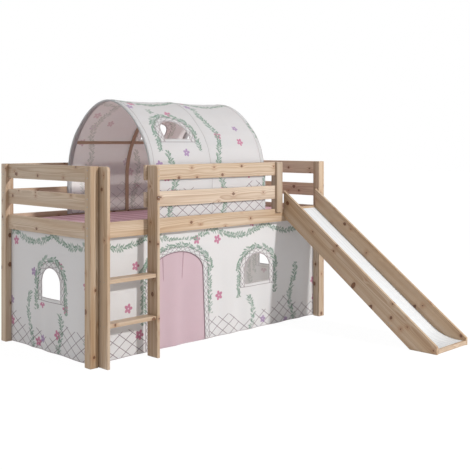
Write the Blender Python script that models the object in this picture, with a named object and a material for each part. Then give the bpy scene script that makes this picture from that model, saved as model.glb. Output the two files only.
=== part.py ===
"""Low loft bed with a ladder, a slide, a fabric tunnel over the bed and curtains below it.

Lengths are in metres. X runs along the bed from the outer face of the left posts, Y runs
back from the front face of the front posts, and Z runs up from the floor. Every piece hangs
on the empty "bed", which puts the middle of the whole footprint on the world's origin.
"""

import math

import bmesh
import bpy
from mathutils import Matrix, Vector

# Play between pieces that touch, and the rounding of their edges
GAP = 0.0003
EDGE = 0.003
POST_EDGE = 0.005

# Posts and the boards between them
POST = 0.058
POST_HEIGHT = 1.140
CLEAR_LENGTH = 2.000
CLEAR_WIDTH = 0.904
BOARD = 0.020
BOARD_HEIGHT = 0.092
BOARD_SPACE = 0.0705
BOARD_ROWS = 3
RECESS = 0.020
TENON_LENGTH = 0.030
TENON_THICKNESS = 0.010
TENON_SHOULDER = 0.012

# Front guard and the slide's entry
ENTRY_WIDTH = 0.400
GUARD_OVERHANG = 0.0125
GUARD_LAP = 0.026

# Ladder
LADDER_PLAY = 0.004
LADDER_SIDE = 0.021
LADDER_DEPTH = 0.094
LADDER_CLEAR = 0.3415
LADDER_DROP = 0.002
LADDER_ROUND = 0.022
RUNG_RISE = 0.250
RUNG_THICKNESS = 0.024
RUNG_DEPTH = 0.076
RUNG_SET_BACK = 0.010
HOUSING = 0.008

# Slide
SLIDE_REACH = 1.203
SLIDE_PLAY_LEFT = 0.030
SLIDE_PLAY_RIGHT = 0.004
SLIDE_BOARD = 0.020
SLIDE_NOSE = 0.047
SLIDE_ABOVE = 0.111
SLIDE_BELOW = 0.039
SLIDE_STEP = 0.0137
SLIDE_BEND = 0.320
SLIDE_BEND_STEPS = 12
RUN_OUT = 0.026
PANEL = 0.004
GROOVE = 0.008
LIP_DEPTH = 0.022
LIP_PROUD = 0.002
BATTEN_WIDTH = 0.045
BATTEN_THICKNESS = 0.020
BATTEN_COUNT = 3
BATTEN_FIRST = 0.060
BATTEN_LAST = 0.100

# Ledgers, slats and pad
LEDGER = 0.020
LEDGER_HEIGHT = 0.020
SLAT_WIDTH = 0.070
SLAT_THICKNESS = 0.012
SLAT_COUNT = 13
SLAT_MARGIN = 0.030
PAD_THICKNESS = 0.030
PAD_PLAY = 0.005
PAD_CROWN = 0.004
PAD_DRAW = 0.004
PAD_ROUND = 0.009
PAD_CORNER_STEPS = 4
PAD_SIDE_STEPS = 8

# Tunnel: its arch is a superellipse, |y / half width| ** power + |z / rise| ** power = 1
TUNNEL_LENGTH = 1.010
TUNNEL_SPACE = 0.079
ARCH_DROP = 0.110
ARCH_RISE = 0.523
ARCH_POWER = 1.85
ARCH_STEPS = 40
TUNNEL_LIFT = 0.004
TUNNEL_SAG = 0.006
BAY_STEPS = 4
HOOP_COUNT = 3
HOOP_WIDTH = 0.025
HOOP_THICKNESS = 0.008
PURLIN_WIDTH = 0.021
PURLIN_THICKNESS = 0.006
PURLIN_RISE = 0.2445
PURLIN_FALL = 0.090
HATCH_WIDTH = 0.210
HATCH_HEIGHT = 0.150
HATCH_RISE = 0.100
HATCH_ABOVE_PURLIN = 0.016
HATCH_FRONT = 0.267
HATCH_BACK = 0.681

# Curtains and their openings
CLOTH = 0.002
CURTAIN_LIFT = 0.006
CURTAIN_HEM = 0.001
CURTAIN_CORNER = 0.053
FOLD_DEPTH = 0.008
FOLD_PITCH = 0.230
FOLD_STEPS = 10
DROP_STEPS = 6
DOOR_CENTRE = 0.7025
DOOR_WIDTH = 0.425
DOOR_HEAD = 0.153
DOOR_RISE = 0.130
DOOR_FLARE = 0.020
WINDOW_HEAD = 0.227
WINDOW_RISE = 0.096
FRONT_WINDOW = 1.4275
FRONT_WINDOW_WIDTH = 0.240
FRONT_WINDOW_HEIGHT = 0.196
END_WINDOW = 0.471
END_WINDOW_WIDTH = 0.198
END_WINDOW_HEIGHT = 0.184
FLAP_HEAD = 0.022
FLAP_LAP = 0.025
FLAP_CLEARANCE = 0.0006
PLEAT_DEPTH = 0.006
PLEAT_WIDTH = 0.018
PLEAT_LENGTH = 0.190
PLEAT_OFFSETS = (-0.1225, 0.0525)

# Worked out from the sizes above
LENGTH = CLEAR_LENGTH + 2 * (BOARD + RECESS)
WIDTH = CLEAR_WIDTH + 2 * (BOARD + RECESS)
ROW_TOPS = [POST_HEIGHT - row * (BOARD_HEIGHT + BOARD_SPACE) for row in range(BOARD_ROWS)]
ROW_NAMES = ["top", "middle", "low"]
RAIL_TOP = ROW_TOPS[-1]
RAIL_BOTTOM = RAIL_TOP - BOARD_HEIGHT
FRONT_FACE = RECESS
FRONT_BACK = RECESS + BOARD
GUARD_POST_LEFT = LENGTH - 2 * POST - ENTRY_WIDTH
LADDER_LEFT = POST + LADDER_PLAY
LADDER_RIGHT = LADDER_LEFT + LADDER_SIDE + LADDER_CLEAR
GUARD_LEFT = LADDER_RIGHT - GUARD_OVERHANG
LADDER_BACK = FRONT_FACE - GAP
LADDER_FRONT = LADDER_BACK - LADDER_DEPTH
LEDGER_TOP = RAIL_BOTTOM + LEDGER_HEIGHT
SLAT_TOP = LEDGER_TOP + GAP + SLAT_THICKNESS
PAD_BOTTOM = SLAT_TOP + GAP
PAD_TOP = PAD_BOTTOM + PAD_THICKNESS
TUNNEL_START = GUARD_POST_LEFT - TUNNEL_SPACE - TUNNEL_LENGTH
CURTAIN_TOP = LEDGER_TOP - CURTAIN_HEM
CURTAIN_FACE = FRONT_BACK + 2 * GAP + LEDGER
FLAP_TOP = CURTAIN_TOP - DOOR_HEAD + FLAP_HEAD

# Colours and roughness of the finishes
PINE = ("pine", (0.73, 0.56, 0.38), 0.55)
BENT_WOOD = ("bent_wood", (0.60, 0.44, 0.31), 0.6)
LAMINATE = ("white_laminate", (0.80, 0.83, 0.84), 0.22)
PAD_CLOTH = ("mauve_pad_cloth", (0.42, 0.22, 0.28), 0.9)
PALE_CLOTH = ("pale_cloth", (0.74, 0.70, 0.70), 0.9)
PINK_CLOTH = ("pink_cloth", (0.66, 0.46, 0.51), 0.9)


def clear_scene():
    for obj in list(bpy.data.objects):
        bpy.data.objects.remove(obj, do_unlink=True)


def finish_material(finish):
    """The material of a finish: its name, colour and roughness."""
    name, colour, roughness = finish
    material = bpy.data.materials.get(name)
    if material is None:
        material = bpy.data.materials.new(name)
        material.use_nodes = True
        shader = material.node_tree.nodes["Principled BSDF"]
        shader.inputs["Base Color"].default_value = (*colour, 1.0)
        shader.inputs["Roughness"].default_value = roughness
        shader.inputs["Metallic"].default_value = 0.0
    return material


def add_object(name, bm, finish, place=(0, 0, 0), turn=0.0, smooth=False):
    """Turns a bmesh into an object at a place on the bed, turned about X."""
    bmesh.ops.recalc_face_normals(bm, faces=bm.faces)
    mesh = bpy.data.meshes.new(name)
    bm.to_mesh(mesh)
    bm.free()
    obj = bpy.data.objects.new(name, mesh)
    bpy.context.scene.collection.objects.link(obj)
    obj.parent = bpy.data.objects["bed"]
    obj.location = place
    obj.rotation_euler = (turn, 0.0, 0.0)
    if finish is not None:
        mesh.materials.append(finish_material(finish))
    if smooth:
        mesh.shade_smooth()
        mesh.set_sharp_from_angle(angle=math.radians(35))
    return obj


def loft(loops):
    """A closed solid through loops of equally many points, with its two ends capped."""
    bm = bmesh.new()
    rings = [[bm.verts.new(point) for point in loop] for loop in loops]
    count = len(rings[0])
    for lower, upper in zip(rings, rings[1:]):
        for i in range(count):
            j = (i + 1) % count
            bm.faces.new((lower[i], lower[j], upper[j], upper[i]))
    bm.faces.new(rings[0])
    bm.faces.new(rings[-1])
    bmesh.ops.recalc_face_normals(bm, faces=bm.faces)
    return bm


def round_edges(bm, chosen, width, segments=2):
    edges = [edge for edge in bm.edges if chosen(edge)]
    bmesh.ops.bevel(
        bm, geom=edges, offset=width, segments=segments, profile=0.5, affect="EDGES", clamp_overlap=True
    )


def runs_along(edge, axis):
    """True for an edge that lies along one axis."""
    span = edge.verts[1].co - edge.verts[0].co
    return abs(span[axis]) > 0.999 * span.length


def board(name, low, high, finish, edge=EDGE, rounded=(0, 1, 2), turn=0.0, place=None):
    """A board between two corners, with the edges along the named axes rounded."""
    low = Vector(low)
    high = Vector(high)
    half = (high - low) / 2
    bm = bmesh.new()
    bmesh.ops.create_cube(bm, size=2.0, matrix=Matrix.Diagonal((*half, 1.0)))
    if rounded:
        round_edges(bm, lambda e: any(runs_along(e, axis) for axis in rounded), edge)
    return add_object(name, bm, finish, (low + high) / 2 if place is None else place, turn, smooth=True)


def cutter(name, bm, place=(0, 0, 0), turn=0.0):
    """A hidden shape that cuts its neighbour."""
    obj = add_object(name, bm, None, place, turn)
    obj.hide_render = True
    obj.display_type = "WIRE"
    return obj


def block_cutter(name, low, high):
    low = Vector(low)
    high = Vector(high)
    half = (high - low) / 2
    bm = bmesh.new()
    bmesh.ops.create_cube(bm, size=2.0, matrix=Matrix.Diagonal((*half, 1.0)))
    return cutter(name, bm, (low + high) / 2)


def cut(obj, tool):
    modifier = obj.modifiers.new("cut_" + tool.name, "BOOLEAN")
    modifier.operation = "DIFFERENCE"
    modifier.solver = "EXACT"
    modifier.object = tool


def tenoned_board(name, low, high, axis, ends, edge=EDGE):
    """A board with its own length along an axis (0 or 1) and a stub tenon at each end named in ends."""
    low = Vector(low)
    high = Vector(high)
    centre = (low + high) / 2
    half = (high - low) / 2
    across = 1 - axis

    def loop(along, half_thickness, half_height):
        points = []
        for side, up in ((-1, -1), (1, -1), (1, 1), (-1, 1)):
            point = [0.0, 0.0, up * half_height]
            point[axis] = along
            point[across] = side * half_thickness
            points.append(point)
        return points

    full = (half[across], half[2])
    tongue = (TENON_THICKNESS / 2, half[2] - TENON_SHOULDER)
    loops = [loop(-half[axis], *full), loop(half[axis], *full)]
    if "low" in ends:
        loops = [loop(-half[axis] - TENON_LENGTH, *tongue), loop(-half[axis], *tongue)] + loops
    if "high" in ends:
        loops = loops + [loop(half[axis], *tongue), loop(half[axis] + TENON_LENGTH, *tongue)]
    bm = loft(loops)

    def long_arris(e):
        return runs_along(e, axis) and all(abs(abs(v.co[2]) - half[2]) < GAP / 10 for v in e.verts)

    round_edges(bm, long_arris, edge)
    return add_object(name, bm, PINE, centre, smooth=True)


def mortise(post, name, low, high, axis, towards):
    """Cuts the mortise for a tenon of the board between low and high, at the end that towards points to."""
    across = 1 - axis
    middle = (low[across] + high[across]) / 2
    start = [0.0, 0.0, low[2] + TENON_SHOULDER - GAP]
    stop = [0.0, 0.0, high[2] - TENON_SHOULDER + GAP]
    start[across] = middle - TENON_THICKNESS / 2 - GAP
    stop[across] = middle + TENON_THICKNESS / 2 + GAP
    shoulder = high[axis] if towards > 0 else low[axis]
    inner = shoulder + towards * (TENON_LENGTH + GAP)
    outer = shoulder - towards * TENON_SHOULDER
    start[axis], stop[axis] = min(inner, outer), max(inner, outer)
    cut(post, block_cutter(name, start, stop))


def make_posts():
    """The four corner posts, keyed by their name."""
    posts = {}
    for end, left in (("left", 0.0), ("right", LENGTH - POST)):
        for side, front in (("front", 0.0), ("back", WIDTH - POST)):
            name = f"post_{side}_{end}"
            low = (left, front, 0.0)
            high = (left + POST, front + POST, POST_HEIGHT)
            posts[name] = board(name, low, high, PINE, edge=POST_EDGE)
    return posts


def make_end_boards(posts):
    """Three boards at each end, tenoned into the posts."""
    for end, left in (("left", RECESS), ("right", LENGTH - RECESS - BOARD)):
        for row, top in zip(ROW_NAMES, ROW_TOPS):
            low = (left, POST + GAP, top - BOARD_HEIGHT)
            high = (left + BOARD, WIDTH - POST - GAP, top)
            tenoned_board(f"end_board_{end}_{row}", low, high, 1, ("low", "high"))
            mortise(posts[f"post_front_{end}"], f"mortise_front_{end}_{row}", low, high, 1, -1)
            mortise(posts[f"post_back_{end}"], f"mortise_back_{end}_{row}", low, high, 1, 1)


def make_long_boards():
    """Three boards along the back and the side rail of the front, butted between the posts."""
    rounded = (0,)
    back = WIDTH - RECESS - BOARD
    for row, top in zip(ROW_NAMES, ROW_TOPS):
        low = (POST + GAP, back, top - BOARD_HEIGHT)
        high = (LENGTH - POST - GAP, back + BOARD, top)
        board(f"back_board_{row}", low, high, PINE, rounded=rounded)
    low = (POST + GAP, FRONT_FACE, RAIL_BOTTOM)
    high = (LENGTH - POST - GAP, FRONT_BACK, RAIL_TOP)
    board("side_rail_front", low, high, PINE, rounded=rounded)


def make_guard():
    """The short guard post, slotted over the side rail, and the guard boards tenoned into it."""
    low = (GUARD_POST_LEFT, 0.0, RAIL_TOP - GUARD_LAP)
    high = (GUARD_POST_LEFT + POST, POST, POST_HEIGHT)
    post = board("guard_post", low, high, PINE, edge=POST_EDGE)
    slot_low = (GUARD_POST_LEFT - POST, FRONT_FACE - GAP, RAIL_TOP - 2 * GUARD_LAP)
    slot_high = (GUARD_POST_LEFT + 2 * POST, FRONT_BACK + GAP, RAIL_TOP + GAP)
    cut(post, block_cutter("guard_post_slot", slot_low, slot_high))
    for row, top in list(zip(ROW_NAMES, ROW_TOPS))[:-1]:
        low = (GUARD_LEFT, FRONT_FACE, top - BOARD_HEIGHT)
        high = (GUARD_POST_LEFT - GAP, FRONT_BACK, top)
        tenoned_board(f"guard_board_{row}", low, high, 0, ("high",))
        mortise(post, f"mortise_guard_{row}", low, high, 0, 1)


def make_ladder():
    """Two sides with a rounded front top corner, and rungs housed in them."""
    top = POST_HEIGHT - LADDER_DROP
    lefts = {"left": LADDER_LEFT, "right": LADDER_RIGHT}
    sides = {}
    for end, left in lefts.items():
        corner = min(LADDER_ROUND, LADDER_DEPTH / 2)
        outline = [(LADDER_BACK, 0.0), (LADDER_BACK, top)]
        for step in range(7):
            angle = math.radians(90 + 15 * step)
            y = LADDER_FRONT + corner + corner * math.cos(angle)
            z = top - corner + corner * math.sin(angle)
            outline.append((y, z))
        outline.append((LADDER_FRONT, 0.0))
        middle = (LADDER_BACK + LADDER_FRONT) / 2
        bm = loft([[(x, y - middle, z) for y, z in outline] for x in (-LADDER_SIDE / 2, LADDER_SIDE / 2)])
        round_edges(bm, lambda e: not runs_along(e, 0), EDGE)
        place = (left + LADDER_SIDE / 2, middle, 0.0)
        sides[end] = add_object(f"ladder_side_{end}", bm, PINE, place, smooth=True)
    front = LADDER_FRONT + RUNG_SET_BACK
    count = int((RAIL_BOTTOM - RUNG_THICKNESS) / RUNG_RISE)
    housings = {
        "left": (LADDER_LEFT + LADDER_SIDE - HOUSING, LADDER_LEFT + 2 * LADDER_SIDE),
        "right": (LADDER_RIGHT - LADDER_SIDE, LADDER_RIGHT + HOUSING),
    }
    for number in range(1, count + 1):
        height = number * RUNG_RISE
        low = (housings["left"][0] + GAP, front, height - RUNG_THICKNESS)
        high = (housings["right"][1] - GAP, front + RUNG_DEPTH, height)
        board(f"rung_{number}", low, high, PINE, edge=EDGE, rounded=(0,))
        for end, (start, stop) in housings.items():
            pocket_low = (start, front - GAP, height - RUNG_THICKNESS - GAP)
            pocket_high = (stop, front + RUNG_DEPTH + GAP, height + GAP)
            cut(sides[end], block_cutter(f"housing_{end}_{number}", pocket_low, pocket_high))


def slide_angle():
    """Slope of the slide, from its surface's start at the rail to the nose at its front."""
    run = FRONT_FACE - GAP + SLIDE_REACH
    fall = RAIL_TOP - SLIDE_STEP - SLIDE_NOSE
    return math.atan2(fall, run) + math.asin(SLIDE_ABOVE / math.hypot(run, fall))


def slide_surface(start_y, stop_y):
    """The sliding surface from the side, as (y, z): a straight fall, a bend and a flat run-out."""
    angle = slide_angle()
    start_z = RAIL_TOP - SLIDE_STEP
    back = FRONT_FACE - GAP
    meet = back - (start_z - RUN_OUT) / math.tan(angle)
    longest = (meet + SLIDE_REACH - LIP_DEPTH - GAP) / math.tan(angle / 2)
    radius = min(SLIDE_BEND, 0.98 * longest)
    centre = (meet - radius * math.tan(angle / 2), RUN_OUT + radius)
    points = [(start_y, start_z - (back - start_y) * math.tan(angle))]
    for step in range(SLIDE_BEND_STEPS + 1):
        turn = angle * (1 - step / SLIDE_BEND_STEPS)
        points.append((centre[0] + radius * math.sin(turn), centre[1] - radius * math.cos(turn)))
    points.append((stop_y, RUN_OUT))
    return points


def ribbon(points, thickness, x_low, x_high):
    """A strip under a line of (y, z) points, with upright ends, between two X values."""
    lower = []
    for i, (y, z) in enumerate(points):
        before = points[max(i - 1, 0)]
        after = points[min(i + 1, len(points) - 1)]
        along = Vector((after[0] - before[0], after[1] - before[1])).normalized()
        if 0 < i < len(points) - 1:
            lower.append((y - thickness * along[1], z + thickness * along[0]))
        else:
            lower.append((y, z + thickness / along[0]))
    outline = points + lower[::-1]
    return loft([[(x, y, z) for y, z in outline] for x in (x_low, x_high)])


def make_slide():
    """Two grooved side boards, the bent panel in their grooves, a front lip and cross battens."""
    angle = slide_angle()
    back = FRONT_FACE - GAP
    start = RAIL_TOP - SLIDE_STEP
    upper = start + SLIDE_ABOVE / math.cos(angle)
    lower = start - SLIDE_BELOW / math.cos(angle)
    heel = back - lower / math.tan(angle)
    outline = [(back, upper), (-SLIDE_REACH, SLIDE_NOSE), (-SLIDE_REACH, 0.0), (heel, 0.0), (back, lower)]
    left = GUARD_POST_LEFT + POST + SLIDE_PLAY_LEFT
    right = LENGTH - POST - SLIDE_PLAY_RIGHT
    inner = {"left": left + SLIDE_BOARD, "right": right - SLIDE_BOARD}
    panel_end = -SLIDE_REACH + LIP_DEPTH + GAP
    surface = slide_surface(back, panel_end)
    for end, x in (("left", left), ("right", right - SLIDE_BOARD)):
        bm = loft([[(dx, y, z) for y, z in outline] for dx in (-SLIDE_BOARD / 2, SLIDE_BOARD / 2)])
        round_edges(bm, lambda e: not runs_along(e, 0), EDGE)
        side = add_object(f"slide_side_{end}", bm, PINE, (x + SLIDE_BOARD / 2, 0.0, 0.0), smooth=True)
        path = slide_surface(back + SLIDE_BOARD, panel_end - GAP)
        path = [(y, z + GAP) for y, z in path]
        reach = GROOVE if end == "left" else SLIDE_BOARD
        groove = ribbon(path, PANEL + 2 * GAP, inner[end] - reach, inner[end] + SLIDE_BOARD + GROOVE - reach)
        cut(side, cutter(f"groove_{end}", groove))
    panel = ribbon(surface, PANEL, inner["left"] - GROOVE + GAP, inner["right"] + GROOVE - GAP)
    add_object("slide_panel", panel, LAMINATE, smooth=True)
    low = (inner["left"] + GAP, -SLIDE_REACH, LIP_PROUD)
    high = (inner["right"] - GAP, -SLIDE_REACH + LIP_DEPTH, RUN_OUT + LIP_PROUD)
    board("slide_lip", low, high, PINE, rounded=(0,))
    slope_length = (surface[0][0] - surface[1][0]) / math.cos(angle)
    spacing = (slope_length - BATTEN_FIRST - BATTEN_LAST) / (BATTEN_COUNT - 1)
    half = ((inner["right"] - inner["left"]) / 2 - GAP, BATTEN_WIDTH / 2, BATTEN_THICKNESS / 2)
    depth = PANEL + GAP + BATTEN_THICKNESS / 2
    for number in range(BATTEN_COUNT):
        along = BATTEN_FIRST + number * spacing
        y = back - along * math.cos(angle) + depth * math.sin(angle)
        z = start - along * math.sin(angle) - depth * math.cos(angle)
        place = ((inner["left"] + inner["right"]) / 2, y, z)
        low = [-value for value in half]
        board(f"slide_batten_{number + 1}", low, half, PINE, rounded=(0,), turn=angle, place=place)


def make_slats():
    """Ledger strips along the two rails, and slats laid across them."""
    for side, front in (("front", FRONT_BACK + GAP), ("back", WIDTH - FRONT_BACK - GAP - LEDGER)):
        low = (POST + GAP, front, RAIL_BOTTOM)
        high = (LENGTH - POST - GAP, front + LEDGER, LEDGER_TOP)
        board(f"ledger_{side}", low, high, PINE, rounded=(0,))
    first = FRONT_BACK + SLAT_MARGIN
    pitch = (LENGTH - 2 * first - SLAT_WIDTH) / (SLAT_COUNT - 1)
    for number in range(SLAT_COUNT):
        left = first + number * pitch
        low = (left, FRONT_BACK + 2 * GAP, LEDGER_TOP + GAP)
        high = (left + SLAT_WIDTH, WIDTH - FRONT_BACK - 2 * GAP, SLAT_TOP)
        board(f"slat_{number + 1:02d}", low, high, PINE, edge=EDGE, rounded=(0, 1))


def make_pad():
    """The pad: a flat bottom, a crowned top, round edges and sides that draw in between the corners."""
    half_x = CLEAR_LENGTH / 2 - PAD_PLAY
    half_y = CLEAR_WIDTH / 2 - PAD_PLAY
    side_height = PAD_THICKNESS - PAD_CROWN
    radius = min(PAD_ROUND, side_height / 2)
    past_post = math.sqrt(2) * (POST - FRONT_BACK - PAD_PLAY) + PAD_PLAY
    corner = max(past_post / (math.sqrt(2) - 1), 2 * radius)

    def ring(inset, height):
        """One loop round the pad, with round corners that pass the posts and sides that draw in."""
        turn = max(corner - inset, EDGE)
        reach_x = half_x - inset
        reach_y = half_y - inset
        points = []
        for quarter, (side_x, side_y) in enumerate(((1, -1), (1, 1), (-1, 1), (-1, -1))):
            for step in range(PAD_CORNER_STEPS + 1):
                angle = math.pi / 2 * (quarter - 1 + step / PAD_CORNER_STEPS)
                x = side_x * (reach_x - turn) + turn * math.cos(angle)
                y = side_y * (reach_y - turn) + turn * math.sin(angle)
                points.append((x, y, height))
            for step in range(1, PAD_SIDE_STEPS):
                share = 1 - 2 * step / PAD_SIDE_STEPS
                draw = PAD_DRAW * (1 - share * share)
                if quarter % 2 == 0:
                    points.append((side_x * (reach_x - draw), side_y * share * (reach_y - turn), height))
                else:
                    points.append((side_x * share * (reach_x - turn), side_y * (reach_y - draw), height))
        return points

    loops = [ring(radius, 0.0), ring(radius * 0.3, radius * 0.3), ring(0.0, radius)]
    loops += [ring(0.0, side_height - radius), ring(radius * 0.3, side_height - radius * 0.3)]
    loops += [ring(radius, side_height), ring(half_y * 0.45, side_height + PAD_CROWN * 0.8)]
    bm = loft(loops)
    lid = max(bm.faces, key=lambda face: face.calc_center_median().z)
    centre = bmesh.ops.poke(bm, faces=[lid])["verts"][0]
    centre.co.z = PAD_THICKNESS
    add_object("mattress_pad", bm, PAD_CLOTH, (LENGTH / 2, WIDTH / 2, PAD_BOTTOM), smooth=True)


def arch_outline(inset):
    """The arch from the front springing to the back one, as (y, z) from its centre line and springing."""
    half = CLEAR_WIDTH / 2 - GAP - inset
    rise = ARCH_RISE - inset
    points = []
    for step in range(ARCH_STEPS + 1):
        angle = math.pi * step / ARCH_STEPS
        across = -math.copysign(abs(math.cos(angle)) ** (2 / ARCH_POWER), math.cos(angle))
        points.append((half * across, rise * math.sin(angle) ** (2 / ARCH_POWER)))
    return points


def arch_frame(inset, height):
    """Point, outward normal and upward tangent of the arch's back half, at a height above its springing."""
    half = CLEAR_WIDTH / 2 - GAP - inset
    rise = ARCH_RISE - inset
    across = half * (1 - (height / rise) ** ARCH_POWER) ** (1 / ARCH_POWER)
    normal = Vector(((across / half) ** (ARCH_POWER - 1) / half, (height / rise) ** (ARCH_POWER - 1) / rise))
    normal.normalize()
    return Vector((across, height)), normal, Vector((-normal[1], normal[0]))


def tunnel_leg():
    """Length of the tunnel's straight legs, from the springing down to just above the pad."""
    return POST_HEIGHT - ARCH_DROP - PAD_TOP - TUNNEL_LIFT


def make_hoops():
    """Flat laths bent to the arch, with straight legs inside the boards."""
    leg = tunnel_leg()
    outer = arch_outline(CLOTH + GAP)
    inner = arch_outline(CLOTH + GAP + HOOP_THICKNESS)
    outline = [(outer[0][0], -leg)] + outer + [(outer[-1][0], -leg)]
    outline += [(inner[-1][0], -leg)] + inner[::-1] + [(inner[0][0], -leg)]
    spring = POST_HEIGHT - ARCH_DROP
    for number, left in enumerate(hoop_lefts()):
        bm = loft([[(x, y, z) for y, z in outline] for x in (-HOOP_WIDTH / 2, HOOP_WIDTH / 2)])
        place = (left + HOOP_WIDTH / 2, WIDTH / 2, spring)
        add_object(f"hoop_{number + 1}", bm, BENT_WOOD, place, smooth=True)


def make_purlins():
    """One flat batten along each side of the tunnel, between the hoops and the cloth."""
    point, normal, tangent = arch_frame(CLOTH + GAP, PURLIN_RISE)
    centre = point + normal * (GAP + PURLIN_THICKNESS / 2)
    half = (TUNNEL_LENGTH / 2 - GAP, PURLIN_THICKNESS / 2, PURLIN_WIDTH / 2)
    tilt = math.atan2(normal[1], normal[0])
    low = [-value for value in half]
    for side, sign in (("front", -1), ("back", 1)):
        place = (
            TUNNEL_START + TUNNEL_LENGTH / 2,
            WIDTH / 2 + sign * centre[0],
            POST_HEIGHT - ARCH_DROP + centre[1],
        )
        turn = sign * tilt
        board(f"purlin_{side}", low, half, BENT_WOOD, edge=EDGE / 3, rounded=(0,), turn=turn, place=place)


def purlin_lift(point):
    """How far the cloth stands off the arch at a point (y, z) of it, where it passes over a purlin."""
    middle = arch_frame(CLOTH + GAP, PURLIN_RISE)[0]
    away = (Vector((abs(point[0]), point[1])) - middle).length
    full = PURLIN_WIDTH / 2 + math.pi * ARCH_RISE / ARCH_STEPS
    lift = PURLIN_THICKNESS + 3 * GAP
    return lift * max(0.0, min(1.0, 1 - (away - full) / PURLIN_FALL))


def tunnel_section(inset, sag):
    """The cloth's line across the tunnel, inset from the outer arch and sagging by up to sag on its top."""
    leg = tunnel_leg()
    points = []
    for y, z in arch_outline(inset):
        lift = purlin_lift((y, z))
        steep = z / ARCH_RISE
        outward = Vector((y, max(z, 0.0))).normalized() if z > 0 else Vector((math.copysign(1, y), 0))
        away = lift - sag * max(0.0, steep * steep - 0.3) / 0.7
        points.append((y + outward[0] * away, z + outward[1] * away))
    first = points[0][0]
    last = points[-1][0]
    down = [-leg * share for share in (1.0, 0.5)]
    return [(first, z) for z in down] + points + [(last, z) for z in reversed(down)]


def arch_opening(width, height, rise, depth, flare=0.0):
    """A prism along Y with an arched outline, its sill centred at the origin; flare widens its right foot."""
    outline = [(-width / 2, 0.0), (width / 2 + flare, 0.0)]
    steps = 12
    for step in range(steps + 1):
        angle = math.pi * step / steps
        outline.append((width / 2 * math.cos(angle), height - rise + rise * math.sin(angle)))
    return loft([[(x, y, z) for x, z in outline] for y in (-depth, depth)])


def hoop_lefts():
    """The left face of each hoop."""
    pitch = (TUNNEL_LENGTH - HOOP_WIDTH - 2 * GAP) / (HOOP_COUNT - 1)
    return [TUNNEL_START + GAP + number * pitch for number in range(HOOP_COUNT)]


def make_tunnel_cover():
    """The tunnel's cloth: two thin shells that meet on the middle hoop, with an arched hatch in each."""
    lefts = hoop_lefts()
    seam = lefts[len(lefts) // 2] + HOOP_WIDTH / 2
    rows = [(TUNNEL_START, 0.0)]
    for left, following in zip(lefts, lefts[1:]):
        start = left + HOOP_WIDTH + GAP
        bay = following - GAP - start
        for step in range(BAY_STEPS + 1):
            rows.append((start + bay * step / BAY_STEPS, TUNNEL_SAG * math.sin(math.pi * step / BAY_STEPS)))
    rows.append((TUNNEL_START + TUNNEL_LENGTH, 0.0))
    place = (0.0, WIDTH / 2, POST_HEIGHT - ARCH_DROP)
    covers = {}
    for end, chosen in (
        ("left", [row for row in rows if row[0] < seam] + [(seam - GAP, 0.0)]),
        ("right", [(seam + GAP, 0.0)] + [row for row in rows if row[0] > seam]),
    ):
        loops = []
        for x, sag in chosen:
            outer = [(x, y, z) for y, z in tunnel_section(0.0, sag)]
            inner = [(x, y, z) for y, z in tunnel_section(CLOTH, sag)]
            loops.append(outer + inner[::-1])
        covers[end] = add_object(f"tunnel_cover_{end}", capped_shell(loops), PALE_CLOTH, place, smooth=True)
    point, normal, tangent = arch_frame(0.0, PURLIN_RISE)
    sill = point + tangent * (PURLIN_WIDTH / 2 + HATCH_ABOVE_PURLIN)
    chord = arch_frame(0.0, sill[1] + HATCH_HEIGHT / 3)[0] - sill
    lean = math.atan2(-chord[0], chord[1])
    for side, sign, offset, end in (("front", -1, HATCH_FRONT, "left"), ("back", 1, HATCH_BACK, "right")):
        spot = (TUNNEL_START + offset, WIDTH / 2 + sign * sill[0], place[2] + sill[1])
        shape = arch_opening(HATCH_WIDTH, HATCH_HEIGHT, HATCH_RISE, HATCH_WIDTH / 2)
        cut(covers[end], cutter(f"hatch_{side}", shape, spot, sign * lean))


def capped_shell(loops):
    """A closed thin shell through loops that each run up the outer face and back down the inner one."""
    bm = bmesh.new()
    rings = [[bm.verts.new(point) for point in loop] for loop in loops]
    count = len(rings[0])
    for lower, upper in zip(rings, rings[1:]):
        for i in range(count):
            j = (i + 1) % count
            bm.faces.new((lower[i], lower[j], upper[j], upper[i]))
    for ring in (rings[0], rings[-1]):
        for i in range(count // 2 - 1):
            bm.faces.new((ring[i], ring[i + 1], ring[count - 2 - i], ring[count - 1 - i]))
    return bm


def fold(along, height):
    """How far the cloth stands in from its hung line: folds start at the flap's head and open downwards."""
    drop = max(0.0, FLAP_TOP - height) / FLAP_TOP
    wave = math.cos(2 * math.pi * along / FOLD_PITCH + 0.9 * math.sin(2.3 * along / FOLD_PITCH))
    return FOLD_DEPTH * math.sqrt(drop) * (1 - wave) / 2


def curtain_mesh(start, stop, bottom, top, position):
    """A closed cloth sheet; position gives the corner points of its two faces at (along, height)."""
    along_steps = max(8, round((stop - start) / FOLD_PITCH * FOLD_STEPS))
    loops = []
    for i in range(along_steps + 1):
        along = start + (stop - start) * i / along_steps
        heights = [bottom + (top - bottom) * j / DROP_STEPS for j in range(DROP_STEPS + 1)]
        near = [position(along, height, 0.0) for height in heights]
        far = [position(along, height, CLOTH) for height in heights]
        loops.append(near + far[::-1])
    return capped_shell(loops)


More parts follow.
